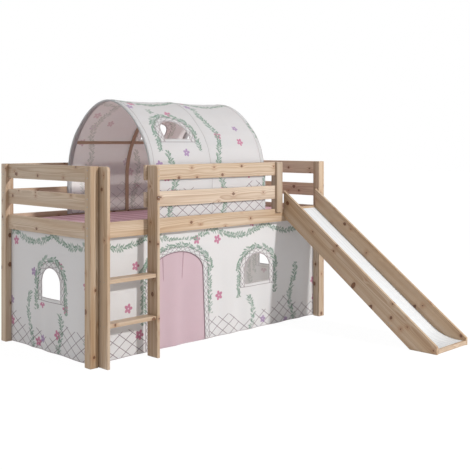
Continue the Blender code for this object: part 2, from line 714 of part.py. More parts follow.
def make_curtains():
    """Two curtains behind the front rail, that meet at its middle, and one at each end, with openings."""

    def front_point(along, height, depth):
        return (along, CURTAIN_FACE + fold(along, height) + depth, height)

    stretches = {
        "left": (CURTAIN_CORNER, LENGTH / 2 - GAP),
        "right": (LENGTH / 2 + GAP, LENGTH - CURTAIN_CORNER),
    }
    fronts = {}
    for end, (start, stop) in stretches.items():
        bm = curtain_mesh(start, stop, CURTAIN_LIFT, CURTAIN_TOP, front_point)
        fronts[end] = add_object(f"curtain_front_{end}", bm, PALE_CLOTH, smooth=True)
    door_height = CURTAIN_TOP - DOOR_HEAD + CURTAIN_LIFT
    door = arch_opening(DOOR_WIDTH, door_height, DOOR_RISE, POST / 2, DOOR_FLARE)
    cut(fronts["left"], cutter("door_opening", door, (DOOR_CENTRE, CURTAIN_FACE, -CURTAIN_LIFT)))
    sill = CURTAIN_TOP - WINDOW_HEAD - FRONT_WINDOW_HEIGHT
    window = arch_opening(FRONT_WINDOW_WIDTH, FRONT_WINDOW_HEIGHT, WINDOW_RISE, POST / 2)
    cut(fronts["right"], cutter("window_opening_front", window, (FRONT_WINDOW, CURTAIN_FACE, sill)))

    for end, sign, edge, window_at in (
        ("left", 1, FRONT_BACK + GAP, END_WINDOW),
        ("right", -1, LENGTH - FRONT_BACK - GAP, WIDTH - END_WINDOW),
    ):

        def end_point(along, height, depth, sign=sign, edge=edge):
            return (edge + sign * (fold(along, height) + depth), along, height)

        bm = curtain_mesh(POST + 2 * GAP, WIDTH - POST - 2 * GAP, CURTAIN_LIFT, CURTAIN_TOP, end_point)
        curtain = add_object(f"curtain_{end}", bm, PALE_CLOTH, smooth=True)
        sill = CURTAIN_TOP - WINDOW_HEAD - END_WINDOW_HEIGHT
        window = arch_opening(END_WINDOW_WIDTH, END_WINDOW_HEIGHT, WINDOW_RISE, POST / 2)
        bmesh.ops.rotate(window, verts=window.verts, matrix=Matrix.Rotation(math.pi / 2, 3, "Z"))
        cut(curtain, cutter(f"window_opening_{end}", window, (edge, window_at, sill)))


def make_door_flap():
    """The pink flap behind the door opening, hung from its top edge, with two pleats."""
    hinge = CURTAIN_FACE + CLOTH + FLAP_CLEARANCE + CLOTH / 2
    start = DOOR_CENTRE - DOOR_WIDTH / 2 - FLAP_LAP
    stop = DOOR_CENTRE + DOOR_WIDTH / 2 + DOOR_FLARE + FLAP_LAP

    def pleat(along, height):
        fade = max(0.0, 1 - (FLAP_TOP - height) / PLEAT_LENGTH)
        nearest = min(abs(along - DOOR_CENTRE - offset) for offset in PLEAT_OFFSETS)
        return PLEAT_DEPTH * math.sqrt(fade) * max(0.0, 1 - 2 * nearest / PLEAT_WIDTH)

    def flap_point(along, height, depth):
        y = CURTAIN_FACE + CLOTH + FLAP_CLEARANCE + fold(along, height) + depth + pleat(along, height)
        return (along - DOOR_CENTRE, y - hinge, height - FLAP_TOP)

    count = max(8, round((stop - start) / FOLD_PITCH * FOLD_STEPS))
    lines = {start + (stop - start) * i / count for i in range(count + 1)}
    for offset in PLEAT_OFFSETS:
        lines |= {DOOR_CENTRE + offset + shift for shift in (-PLEAT_WIDTH / 2, 0.0, PLEAT_WIDTH / 2)}
    rows = 2 * DROP_STEPS
    heights = [CURTAIN_LIFT + (FLAP_TOP - CURTAIN_LIFT) * j / rows for j in range(rows + 1)]
    loops = []
    for along in sorted(lines):
        near = [flap_point(along, height, 0.0) for height in heights]
        far = [flap_point(along, height, CLOTH) for height in heights]
        loops.append(near + far[::-1])
    add_object("door_flap", capped_shell(loops), PINK_CLOTH, (DOOR_CENTRE, hinge, FLAP_TOP), smooth=True)


def main():
    clear_scene()
    bed = bpy.data.objects.new("bed", None)
    bpy.context.scene.collection.objects.link(bed)
    bed.location = (-LENGTH / 2, (SLIDE_REACH - WIDTH) / 2, 0.0)
    posts = make_posts()
    make_end_boards(posts)
    make_long_boards()
    make_guard()
    make_ladder()
    make_slide()
    make_slats()
    make_pad()
    make_hoops()
    make_purlins()
    make_tunnel_cover()
    make_curtains()
    make_door_flap()


main()
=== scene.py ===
"""The looks of the loft bed: knotted pine, a white slide, printed cloth, a striped pad and screws."""

import math

import bmesh
import bpy
from mathutils import Matrix, Vector, noise


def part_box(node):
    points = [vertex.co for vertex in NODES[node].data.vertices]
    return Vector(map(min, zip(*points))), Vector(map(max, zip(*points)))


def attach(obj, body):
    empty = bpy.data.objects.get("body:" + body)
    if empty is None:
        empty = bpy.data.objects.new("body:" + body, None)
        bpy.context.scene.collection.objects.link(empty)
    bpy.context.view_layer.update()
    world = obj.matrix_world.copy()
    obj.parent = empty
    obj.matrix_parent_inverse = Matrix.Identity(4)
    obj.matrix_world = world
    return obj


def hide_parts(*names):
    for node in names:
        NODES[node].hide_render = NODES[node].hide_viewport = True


# The camera, fitted to the photograph: its place is measured from the bed's front left foot
CAMERA_PLACE = (-2.6952, -3.8296, 1.260)
CAMERA_AZIMUTH = 45.1
CAMERA_SHARPNESS = 823.907
HORIZON_ROW = 144.884
PICTURE = 470

# Light: the key lamp's place and aim are measured from the bed's front left foot too
KEY_PLACE = (2.6, -7.0, 4.3)
KEY_AIM = (1.0, 0.0, 0.6)
KEY_SIZE = 0.5
KEY_POWER = 466.0
KEY_COLOUR = (1.0, 0.985, 0.965)
FILL_POWER = 0.50
FILL_SOFTNESS = 30.0
FILL_AZIMUTH = -121.0
FILL_ELEVATION = 25.0
WORLD_LIGHT = 0.48
FLOOR_HALF = 30.0
FLOOR_GREY = (0.86, 0.86, 0.86)
FLOOR_GLOW = 1.06
FLOOR_GLOW_SHARE = 0.90

# Cloth
CLOTH = 0.0010
CAD_CLOTH = 0.0020
CLOTH_STEP = 0.0065
YARNS = 5200.0
BINDING_WIDTH = 0.0035
BINDING_PROUD = 0.0003
HEM_WIDTH = 0.016
STITCH_PITCH = 0.0042
STITCH_LENGTH = 0.0028
STITCH_WIDTH = 0.0007
SEAM_RADIUS = 0.0015

# Folds of the hanging cloth, as in the solids
FOLD_DEPTH = 0.008
FOLD_PITCH = 0.230
FLAP_TOP = 0.611
PLEAT_DEPTH = 0.006
PLEAT_LENGTH = 0.190
PLEATS = (0.580, 0.755)
PLEAT_CREASE = 0.010
PLEAT_LEAN = 0.012

# Openings in the cloth, measured from the bed's front left foot
DOOR = {"centre": 0.7025, "width": 0.425, "springing": 0.459, "rise": 0.130, "flare": 0.020}
FRONT_WINDOW = {"centre": 1.4275, "width": 0.240, "sill": 0.319, "springing": 0.419, "rise": 0.096}
END_WINDOW = {"width": 0.198, "sill": 0.331, "springing": 0.419, "rise": 0.096}
LEFT_WINDOW = 0.471
RIGHT_WINDOW = 0.513

# The tunnel's arch is a superellipse over the bed, |y / half| ** power + |z / rise| ** power = 1
ARCH_HALF = 0.4517
ARCH_RISE = 0.523
ARCH_POWER = 1.85
ARCH_SPRINGING = 1.030
HOOP_WIDTH = 0.025
PURLIN_RISE = 0.2445
PURLIN_HALF = 0.0105
PURLIN_LIFT = 0.0069
PURLIN_FLAT = 0.0516
PURLIN_FALL = 0.090
TUNNEL_SAG = 0.006
SLEEVE_DEPTH = 0.0105
HATCH = {"width": 0.210, "height": 0.150, "rise": 0.100}
HATCH_ABOVE_PURLIN = 0.016
HATCH_FRONT = 0.267
HATCH_BACK = 0.681

# Knots in the pine: one place for a knot in each such length of a board
KNOT_EVERY = 0.190
KNOT_CHANCE = 0.60
KNOT_LEAST = 0.0026
KNOT_MORE = 0.0100
YEAR_RING = 0.0052

# The print: its ink, the plaited borders, the leaves of garlands and climbers, and the trellis
INK_EDGE = 0.0010
BORDER_INNER = 0.0045
BORDER_MIDDLE = 0.0235
BORDER_OUTER = 0.0425
BORDER_LINE = 0.0018
BORDER_OUTER_LINE = 0.0020
PLAIT_SWING = 0.0135
PLAIT_PITCH = 0.040
SILL_LINE = 0.0015
STEM_LINE = 0.0011
GARLAND_OFF = 0.058
GARLAND_LEAVES = {"pitch": 0.0150, "length": 0.037, "width": 0.0092}
CLIMBER_LEAVES = {"pitch": 0.0165, "length": 0.050, "width": 0.0105}
PINK_BLOSSOMS = {"cell": (0.245, 0.195), "size": 0.0310, "chosen": 0.42, "seed": 1.0}
PURPLE_BLOSSOMS = {"cell": (0.285, 0.215), "size": 0.0270, "chosen": 0.36, "seed": 5.0}
LEAF_LEAN = 0.90
LEAF_SHARE = 0.82
TRELLIS_WIDE = 0.100
TRELLIS_HIGH = 0.072
TRELLIS_SLANT = 0.058
TRELLIS_LINE = 0.0020

# The pad: its stripes and sewn channels come at the same pitch
STRIPE_EVERY = 0.110
CHANNEL_DEPTH = 0.0022
CHANNEL_HALF = 0.007
PAD_CORNER = 0.052
PAD_DRAWN_IN = 0.004
PAD_CROWN = 0.004
PAD_SIDE = ((0.012, 0.0), (0.004, 0.05), (0.0, 0.30), (0.0, 0.62), (0.0028, 0.86), (0.009, 0.98))
PAD_TOP = (0.016, 0.026, 0.040, 0.060, 0.085, 0.115, 0.150, 0.190, 0.235, 0.285, 0.340, 0.395, 0.435)

# Screw heads: radius and how far they stand out
LARGE_SCREW = {"Radius": 0.0042, "Proud": 0.0007}
SMALL_SCREW = {"Radius": 0.0034, "Proud": 0.0005}

# How light and how strong in colour each board is beside the others, as the photograph shows it: partly
# the boards' own tones, partly painted shade and light on some boards.
BOARD_TONES_AND_SHADE = {
    # Painted shade: the front left post is darker and redder for the shade of the ladder beside it.
    "post_front_left": (0.77, 1.10),
    "end_board_left_top": (0.82, 1.00),
    "end_board_left_middle": (0.88, 0.98),
    "end_board_left_low": (0.93, 0.94),
    "side_rail_front": (0.92, 1.00),
    "guard_board_top": (0.88, 0.98),
    "guard_board_middle": (1.02, 0.82),
    "guard_post": (0.73, 0.95),
    "ladder_side_left": (0.88, 1.00),
    "ladder_side_right": (0.86, 1.04),
    "slide_side_left": (0.86, 1.06),
    "slide_side_right": (0.88, 1.06),
    # Painted light: the right end's upper boards are lighter, though their faces seen inside the bed lie
    # in shade.
    "end_board_right_top": (1.14, 0.94),
    "end_board_right_middle": (1.12, 0.94),
}
PLAIN_TONE = (0.92, 1.00)

# Colours, as linear red, green and blue
PINE_PALE = (0.640, 0.510, 0.385)
PINE_WARM = (0.575, 0.410, 0.268)
PINE_DARK = (0.355, 0.215, 0.120)
KNOT_HALO = (0.380, 0.190, 0.100)
KNOT_HEART = (0.235, 0.105, 0.052)
KNOT_RIM = (0.060, 0.028, 0.015)
BENT_PALE = (0.600, 0.450, 0.330)
BENT_DARK = (0.430, 0.290, 0.190)
LAMINATE = (0.790, 0.825, 0.860)
LAMINATE_RUBBED = (0.740, 0.770, 0.790)
CLOTH_WHITE = (0.655, 0.642, 0.645)
# Painted shade: the tunnel's cloth is drawn darker than the curtains' same cloth, for the weaker light
# on it.
TUNNEL_WHITE_SHADED = (0.540, 0.535, 0.542)
FACING_WHITE = (0.690, 0.680, 0.680)
# Painted light: the cloth's inner face is drawn much lighter than its outer face, to light the bed's
# inside.
CLOTH_INSIDE_PAINTED_LIGHT = (0.930, 0.905, 0.880)
CLOTH_PINK = (0.545, 0.410, 0.455)
# Painted shade for the flap's pleat creases.
CREASE_SHADE_PINK = (0.250, 0.110, 0.150)
PAD_LIGHT = (0.900, 0.600, 0.690)
PAD_DARK = (0.720, 0.410, 0.500)
PAD_LINE = (0.520, 0.360, 0.420)
MOTTLE = (0.400, 0.360, 0.360)
BINDING_GREY = (0.460, 0.420, 0.430)
# Partly the tape's own colour, partly painted shade for the dark gap along the doorway's edge.
DOOR_BINDING_AND_GAP_SHADE = (0.260, 0.170, 0.200)
THREAD_GREY = (0.620, 0.580, 0.580)
THREAD_PINK = (0.500, 0.310, 0.360)
INK_LINE = (0.180, 0.135, 0.155)
INK_LEAF = (0.098, 0.205, 0.142)
INK_PINK = (0.450, 0.125, 0.235)
INK_PURPLE = (0.290, 0.180, 0.350)
STEEL = (0.420, 0.410, 0.400)
# Painted shade: the near-black of the cross's recess in each screw head.
SCREW_CROSS_SHADE = (0.030, 0.030, 0.030)

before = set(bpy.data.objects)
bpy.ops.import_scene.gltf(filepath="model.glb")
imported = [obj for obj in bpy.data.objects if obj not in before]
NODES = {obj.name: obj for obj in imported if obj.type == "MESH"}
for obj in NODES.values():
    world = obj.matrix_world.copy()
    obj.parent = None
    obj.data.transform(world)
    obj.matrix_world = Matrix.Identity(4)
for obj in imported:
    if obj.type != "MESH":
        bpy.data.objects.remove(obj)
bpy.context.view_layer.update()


def box_of(node):
    """The lower and the upper corner of a piece's box."""
    low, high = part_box(node)
    return Vector(low), Vector(high)


LEFT, FRONT = box_of("post_front_left")[0].xy


def on_bed(x, y, z):
    """A place measured from the bed's front left foot."""
    return Vector((LEFT + x, FRONT + y, z))


# Shader maths


class Field:
    """A number that varies over a surface, as the output of shader nodes."""

    def __init__(self, tree, socket):
        self.tree = tree
        self.socket = socket

    def join(self, operation, *others):
        node = self.tree.nodes.new("ShaderNodeMath")
        node.operation = operation
        for place, other in zip(node.inputs, (self, *others)):
            if isinstance(other, Field):
                self.tree.links.new(other.socket, place)
            else:
                place.default_value = other
        return Field(self.tree, node.outputs[0])

    def __add__(self, other):
        return self.join("ADD", other)

    def __sub__(self, other):
        return self.join("SUBTRACT", other)

    def __mul__(self, other):
        return self.join("MULTIPLY", other)

    def __truediv__(self, other):
        return self.join("DIVIDE", other)

    def __neg__(self):
        return self.join("MULTIPLY", -1.0)

    def at_least(self, other):
        return self.join("MAXIMUM", other)

    def over(self, limit, soft):
        """0 where the number is under the limit, 1 where it is over, and a soft step between."""
        return ((self - limit) / soft + 0.5).at_least(0.0).join("MINIMUM", 1.0)

    def pick(self, low, high):
        """low where this is 0 and high where it is 1."""
        return low + (high - low) * self


def fields(tree, vector):
    """The X, Y and Z of a vector socket."""
    node = tree.nodes.new("ShaderNodeSeparateXYZ")
    tree.links.new(vector, node.inputs[0])
    return [Field(tree, output) for output in node.outputs]


def vector_of(tree, *numbers):
    node = tree.nodes.new("ShaderNodeCombineXYZ")
    for place, number in zip(node.inputs, numbers):
        if isinstance(number, Field):
            tree.links.new(number.socket, place)
        else:
            place.default_value = number
    return node.outputs[0]


def cloudy(tree, vector, scale, detail=2.0, rough=0.5):
    """Soft noise between 0 and 1."""
    node = tree.nodes.new("ShaderNodeTexNoise")
    node.inputs["Scale"].default_value = scale
    node.inputs["Detail"].default_value = detail
    node.inputs["Roughness"].default_value = rough
    tree.links.new(vector, node.inputs["Vector"])
    return Field(tree, node.outputs["Fac"])


def cloudy_at(tree, x, y, z, detail=2.0):
    """Soft noise at a place that is given as three numbers."""
    return cloudy(tree, vector_of(tree, x, y, z), 1.0, detail)


def chance(tree, *numbers):
    """A fixed random number for each whole-number place."""
    node = tree.nodes.new("ShaderNodeTexWhiteNoise")
    node.noise_dimensions = "3D"
    tree.links.new(vector_of(tree, *numbers), node.inputs["Vector"])
    return Field(tree, node.outputs["Value"])


def tint(tree, amount, under, over):
    """Lays one colour over another by an amount. Each colour is a socket or three numbers."""
    node = tree.nodes.new("ShaderNodeMix")
    node.data_type = "RGBA"
    tree.links.new(amount.socket, node.inputs[0])
    for place, colour in ((node.inputs[6], under), (node.inputs[7], over)):
        if isinstance(colour, tuple):
            place.default_value = (*colour, 1.0)
        else:
            tree.links.new(colour, place)
    return node.outputs[2]


def raised(tree, height, distance, strength):
    """A bump from a height between 0 and 1."""
    node = tree.nodes.new("ShaderNodeBump")
    node.inputs["Strength"].default_value = strength
    node.inputs["Distance"].default_value = distance
    tree.links.new(height.socket, node.inputs["Height"])
    return node.outputs[0]


def new_finish(name):
    material = bpy.data.materials.new(name)
    material.use_nodes = True
    return material, material.node_tree, material.node_tree.nodes["Principled BSDF"]


def place_vector(tree, kind="Object"):
    return tree.nodes.new("ShaderNodeTexCoord").outputs[kind]


# Wood and laminate


def knots(tree, along, around, reach, spread):
    """Knots that grow out from the pith: how far inside one a point is, and how near one it is."""
    cells = vector_of(tree, along / KNOT_EVERY, around / spread, 0.0)
    node = tree.nodes.new("ShaderNodeTexVoronoi")
    node.voronoi_dimensions = "2D"
    node.inputs["Scale"].default_value = 1.0
    node.inputs["Randomness"].default_value = 0.90
    tree.links.new(cells, node.inputs["Vector"])
    at_x, at_y = fields(tree, node.outputs["Position"])[:2]
    roll_a, roll_b = fields(tree, node.outputs["Color"])[:2]
    gap_along = (along - at_x * KNOT_EVERY) / 1.25
    gap_round = (around - at_y * spread) * reach
    away = (gap_along * gap_along + gap_round * gap_round).join("SQRT")
    there = roll_b.over(1.0 - KNOT_CHANCE, 0.01)
    radius = roll_a * roll_a * KNOT_MORE + KNOT_LEAST
    inside = radius - away + (there - 1.0) * 0.05
    near = (away / -0.016).join("EXPONENT") * there
    return inside, near


def pine_grain():
    """The pine's grain as a node group: X runs along the board, Y across its face and Z through it."""
    group = bpy.data.node_groups.new("pine_grain", "ShaderNodeTree")
    group.interface.new_socket("Place", in_out="INPUT", socket_type="NodeSocketVector")
    group.interface.new_socket("Pith", in_out="INPUT", socket_type="NodeSocketFloat")
    group.interface.new_socket("Spread", in_out="INPUT", socket_type="NodeSocketFloat")
    group.interface.new_socket("Colour", in_out="OUTPUT", socket_type="NodeSocketColor")
    group.interface.new_socket("Height", in_out="OUTPUT", socket_type="NodeSocketFloat")
    entry = group.nodes.new("NodeGroupInput")
    leave = group.nodes.new("NodeGroupOutput")
    along, across, depth = fields(group, entry.outputs["Place"])
    pith = Field(group, entry.outputs["Pith"])
    spread = Field(group, entry.outputs["Spread"])

    wander = cloudy_at(group, along * 0.55, 3.7, 1.9, 0.0) - 0.5
    from_heart = across - wander * pith * 2.6
    deep = depth + pith
    reach = (from_heart * from_heart + deep * deep).join("SQRT")
    around = deep.join("ARCTAN2", from_heart)
    inside, near = knots(group, along, around, reach, spread)

    drift = cloudy_at(group, along * 1.1, across * 3.0, depth * 3.0) - 0.5
    ring = reach + drift * 0.020 + near * 0.006
    year = (ring / YEAR_RING).join("FRACT")
    late = year.over(0.62, 0.5) * (-year).over(-0.97, 0.06)
    strength = cloudy_at(group, along * 0.8, across * 9.0, depth * 9.0, 1.0)
    fibre = cloudy_at(group, along * 9.0, across * 620.0, depth * 620.0)
    streak = cloudy_at(group, along * 1.2, across * 42.0, depth * 42.0)
    warm = cloudy_at(group, along * 1.6, across * 14.0, depth * 14.0 + 4.0, 1.0)

    colour = tint(group, (warm - 0.40) * 3.0, PINE_PALE, PINE_WARM)
    colour = tint(group, late * (strength * 0.95 + 0.05), colour, PINE_DARK)
    colour = tint(group, (streak - 0.45).at_least(0.0) * 2.2, colour, PINE_DARK)
    colour = tint(group, (fibre - 0.45).at_least(0.0) * 0.45, colour, PINE_DARK)
    colour = tint(group, (near - 0.20).at_least(0.0) * 1.10, colour, KNOT_HALO)
    colour = tint(group, inside.over(0.0, 0.0012), colour, KNOT_RIM)
    colour = tint(group, inside.over(0.0018, 0.0016) * 0.80, colour, KNOT_HEART)
    group.links.new(colour, leave.inputs["Colour"])
    height = fibre * 0.6 + late * 0.25 - inside.over(0.0, 0.0012) * 0.5
    group.links.new(height.socket, leave.inputs["Height"])
    return group


def pine(grain, name, centre, turn, seed, post, tone_and_shade):
    """The finish of one board, with its grain turned along it."""
    material, tree, shader = new_finish(name)
    mapping = tree.nodes.new("ShaderNodeMapping")
    tree.links.new(place_vector(tree), mapping.inputs["Vector"])
    start = -(turn @ centre) + Vector((seed * 2.37 % 23.0 + 1.0, 0.0, 0.0))
    mapping.inputs["Location"].default_value = start
    mapping.inputs["Rotation"].default_value = turn.to_euler()
    wood = tree.nodes.new("ShaderNodeGroup")
    wood.node_tree = grain
    wood.inputs["Pith"].default_value = 0.014 if post else 0.055
    wood.inputs["Spread"].default_value = 1.60 if post else 0.80
    tree.links.new(mapping.outputs[0], wood.inputs["Place"])
    # The board's tone, which on some boards holds painted shade or painted light.
    toned = tree.nodes.new("ShaderNodeHueSaturation")
    toned.inputs["Value"].default_value, toned.inputs["Saturation"].default_value = tone_and_shade
    tree.links.new(wood.outputs["Colour"], toned.inputs["Color"])
    tree.links.new(toned.outputs[0], shader.inputs["Base Color"])
    height = Field(tree, wood.outputs["Height"])
    tree.links.new((height * -0.10 + 0.50).socket, shader.inputs["Roughness"])
    tree.links.new(raised(tree, height, 0.0004, 0.35), shader.inputs["Normal"])
    shader.inputs["Coat Weight"].default_value = 0.10
    shader.inputs["Coat Roughness"].default_value = 0.35
    return material


def grain_turn(node):
    """The rotation that lays a board's own axes on X, its grain, Y, its face, and Z, its thickness."""
    low, high = box_of(node)
    if node.startswith("slide_side"):
        slope = slide_slope()
        return Matrix((slope, slope.cross(Vector((-1.0, 0.0, 0.0))), Vector((1.0, 0.0, 0.0))))
    sizes = sorted(range(3), key=lambda axis: low[axis] - high[axis])
    axes = [Vector([1.0 if axis == i else 0.0 for i in range(3)]) for axis in sizes]
    if axes[0].cross(axes[1]).dot(axes[2]) < 0:
        axes[2] = -axes[2]
    return Matrix(axes)


def slide_slope():
    """The direction down the slide, from its side board's two upper corners."""
    mesh = NODES["slide_side_left"].data
    back = max((v.co for v in mesh.vertices), key=lambda co: co.z)
    foot = max((v.co for v in mesh.vertices), key=lambda co: co.z * 0.2 - co.y)
    return Vector((0.0, foot.y - back.y, foot.z - back.z)).normalized()


FRAME_BOARDS = ("post_", "end_board", "back_board", "side_rail", "guard", "ledger", "slat")
PINE_BOARDS = FRAME_BOARDS + ("ladder", "rung", "slide_side", "slide_lip", "slide_batten")


def finish_wood():
    """Gives each pine board its own grain."""
    grain = pine_grain()
    boards = sorted(name for name in NODES if name.startswith(PINE_BOARDS))
    for seed, node in enumerate(boards):
        low, high = box_of(node)
        tone_and_shade = BOARD_TONES_AND_SHADE.get(node, PLAIN_TONE)
        turn = grain_turn(node)
        finish = pine(grain, "pine_" + node, (low + high) / 2, turn, seed + 1, "post" in node, tone_and_shade)
        set_finish(NODES[node], finish)


def bent_wood():
    """Plain laths for the hoops and battens: fine fibres and no knots."""
    material, tree, shader = new_finish("bent_wood")
    place = place_vector(tree)
    fine = cloudy(tree, place, 260.0, 3.0)
    broad = cloudy(tree, place, 12.0, 2.0)
    colour = tint(tree, fine * 0.5 + broad * 0.3, BENT_PALE, BENT_DARK)
    tree.links.new(colour, shader.inputs["Base Color"])
    shader.inputs["Roughness"].default_value = 0.6
    tree.links.new(raised(tree, fine, 0.0003, 0.4), shader.inputs["Normal"])
    return material


def laminate():
    """The slide's white face: smooth, with a fine orange-peel and faint rubbing along the way down."""
    material, tree, shader = new_finish("white_laminate")
    place = place_vector(tree)
    x, y, z = fields(tree, place)
    peel = cloudy(tree, place, 420.0, 2.0)
    rubbed = cloudy_at(tree, x * 90.0, y * 2.0, z * 2.0, 3.0)
    colour = tint(tree, rubbed * 0.16, LAMINATE, LAMINATE_RUBBED)
    tree.links.new(colour, shader.inputs["Base Color"])
    tree.links.new((rubbed * 0.16 + 0.20).socket, shader.inputs["Roughness"])
    tree.links.new(raised(tree, peel, 0.0002, 0.15), shader.inputs["Normal"])
    return material


def set_finish(obj, material):
    if obj.data.materials:
        obj.data.materials[0] = material
    else:
        obj.data.materials.append(material)


# Cloth finishes


def weave(tree, place):
    """A plain weave and the yarn's unevenness, as a height."""
    x, y = fields(tree, place)[:2]
    warp = (x * YARNS).join("SINE")
    weft = (y * YARNS).join("SINE")
    slub = cloudy_at(tree, x * 180.0, y * 900.0, 0.0)
    return warp * weft * 0.5 + slub * 0.8


def cloth_finish(name, colour_of, thin=0.8):
    """A cloth finish on the piece's own flat pattern, with its colour from colour_of.

    Thin cloth lets light through.
    """
    material, tree, shader = new_finish(name)
    place = place_vector(tree, "UV")
    height = weave(tree, place)
    across, along = fields(tree, place)[:2]
    colour = colour_of(tree, across, along)
    mottled = cloudy_at(tree, across * 55.0, along * 55.0, 0.0, 3.0)
    colour = tint(tree, (mottled - 0.4) * 0.10, colour, MOTTLE)
    tree.links.new(colour, shader.inputs["Base Color"])
    shader.inputs["Roughness"].default_value = 0.9
    shader.inputs["Sheen Weight"].default_value = 0.03
    shader.inputs["Sheen Roughness"].default_value = 0.5
    shader.inputs["Subsurface Weight"].default_value = thin
    shader.inputs["Subsurface Radius"].default_value = (1.0, 0.9, 0.85)
    shader.inputs["Subsurface Scale"].default_value = 0.004
    tree.links.new(raised(tree, height, 0.00012, 0.5), shader.inputs["Normal"])
    return material


def plain(colour):
    """A colour_of for cloth of one dye, a little uneven."""

    def shade(tree, across, along):
        worn = cloudy_at(tree, across * 7.0, along * 7.0, 0.0)
        darker = tuple(value * 0.88 for value in colour)
        return tint(tree, worn * 0.6, colour, darker)

    return shade


def pink_with_crease_shade(tree, across, along):
    """The flap's pink, with painted shade darkening the two creases under its head."""
    lean = (-along + FLAP_TOP) * (PLEAT_LEAN / PLEAT_LENGTH)
    first = line(across - PLEATS[0] - lean, PLEAT_CREASE / 2)
    second = line(across - PLEATS[1] + lean, PLEAT_CREASE / 2)
    # Painted shade: the pink is darkened along the two pleat creases near the flap's head.
    crease_shade = first.at_least(second).over(0.003, 0.003)
    high = (along - FLAP_TOP + PLEAT_LENGTH).over(0.0, 0.02)
    return tint(tree, crease_shade * high * 0.65, plain(CLOTH_PINK)(tree, across, along), CREASE_SHADE_PINK)


def striped(tree, across, along):
    """The pad's ticking: broad stripes across the bed, with fine lines at a tenth of their pitch all
    over.
    """
    place = (across / STRIPE_EVERY).join("FRACT")
    broad = place.over(0.25, 0.02) * (-place).over(-0.75, 0.02)
    fine = (across / (STRIPE_EVERY / 10)).join("FRACT").over(0.72, 0.10) * 0.30
    colour = tint(tree, broad, PAD_LIGHT, PAD_DARK)
    return tint(tree, fine, colour, PAD_LINE)


# The print


def inked(depth):
    """1 where a mark's depth is over 0, with an edge as soft as print on cloth."""
    return depth.over(0.0, INK_EDGE)


def line(distance, half):
    """The depth inside a line that runs where a distance is 0."""
    return -distance.join("ABSOLUTE") + half


def garland(tree, along, off, pitch, length, width):
    """A stem with leaves on both sides: how much ink each point takes, and how pale each leaf is."""
    stem = inked(line(off, STEM_LINE))
    leaves = None
    pale = None
    outward = off.over(0.0, 0.00001)
    reach = off.join("ABSOLUTE")
    for shift in (0.0, 0.5):
        cell = (along / pitch + shift).join("FLOOR")
        local = along - (cell - shift) * pitch
        roll = chance(tree, cell, outward + shift * 3.0, 2.0)
        turned = roll * 0.6 + (LEAF_LEAN - 0.3)
        cosine = turned.join("COSINE")
        sine = turned.join("SINE")
        grown = roll * 0.5 + 0.6
        x = (local * cosine + reach * sine) / grown
        y = (reach * cosine - local * sine) / grown
        share = x / length
        blade = share * (-share + 1.0) * (2.0 * width) - y.join("ABSOLUTE")
        blade = inked(blade) * (-roll).over(-LEAF_SHARE, 0.001)
        leaves = blade if leaves is None else leaves.at_least(blade)
        pale = roll if pale is None else (pale + roll) * 0.5
    return stem, leaves, pale


def blossoms(tree, across, along, cell, size, chosen, seed):
    """Five-petalled flowers scattered in cells."""
    column = (across / cell[0]).join("FLOOR")
    row = (along / cell[1]).join("FLOOR")
    roll = chance(tree, column, row, seed + 23.0)
    x = across - (column + chance(tree, column, row, seed) * 0.5 + 0.25) * cell[0]
    y = along - (row + chance(tree, column, row, seed + 11.0) * 0.5 + 0.25) * cell[1]
    away = (x * x + y * y).join("SQRT")
    angle = y.join("ARCTAN2", x) + roll * 6.0
    petal = (angle * 2.5).join("COSINE").join("ABSOLUTE") * 0.50 + 0.50
    grown = (roll * 0.5 + 0.6) * size
    heart = away.over(size * 0.14, size * 0.05)
    return inked(petal * grown - away) * heart * roll.over(1.0 - chosen, 0.001)


def round_opening(across, along, opening):
    """Distance out from an arched opening's edge, and the way round it from its right foot."""
    half, springing, rise = opening.half, opening.springing, opening.rise
    x = across - opening.centre
    up = (along - springing).at_least(0.0)
    mean = (half + rise) / 2
    bent = ((x * x) / (half * half) + (up * up) / (rise * rise)).join("SQRT")
    is_up = (along - springing).over(0.0, 0.001)
    below = (-along + springing).at_least(0.0)
    on_right = x.over(0.0, 0.001)
    side = x.join("ABSOLUTE") - half - below * on_right * (opening.flare / max(springing, 0.1))
    off = is_up.pick(side, (bent - 1.0) * mean)
    down = on_right.pick(below + math.pi * mean, -below)
    return off, is_up.pick(down, up.join("ARCTAN2", x) * mean) + 3.0


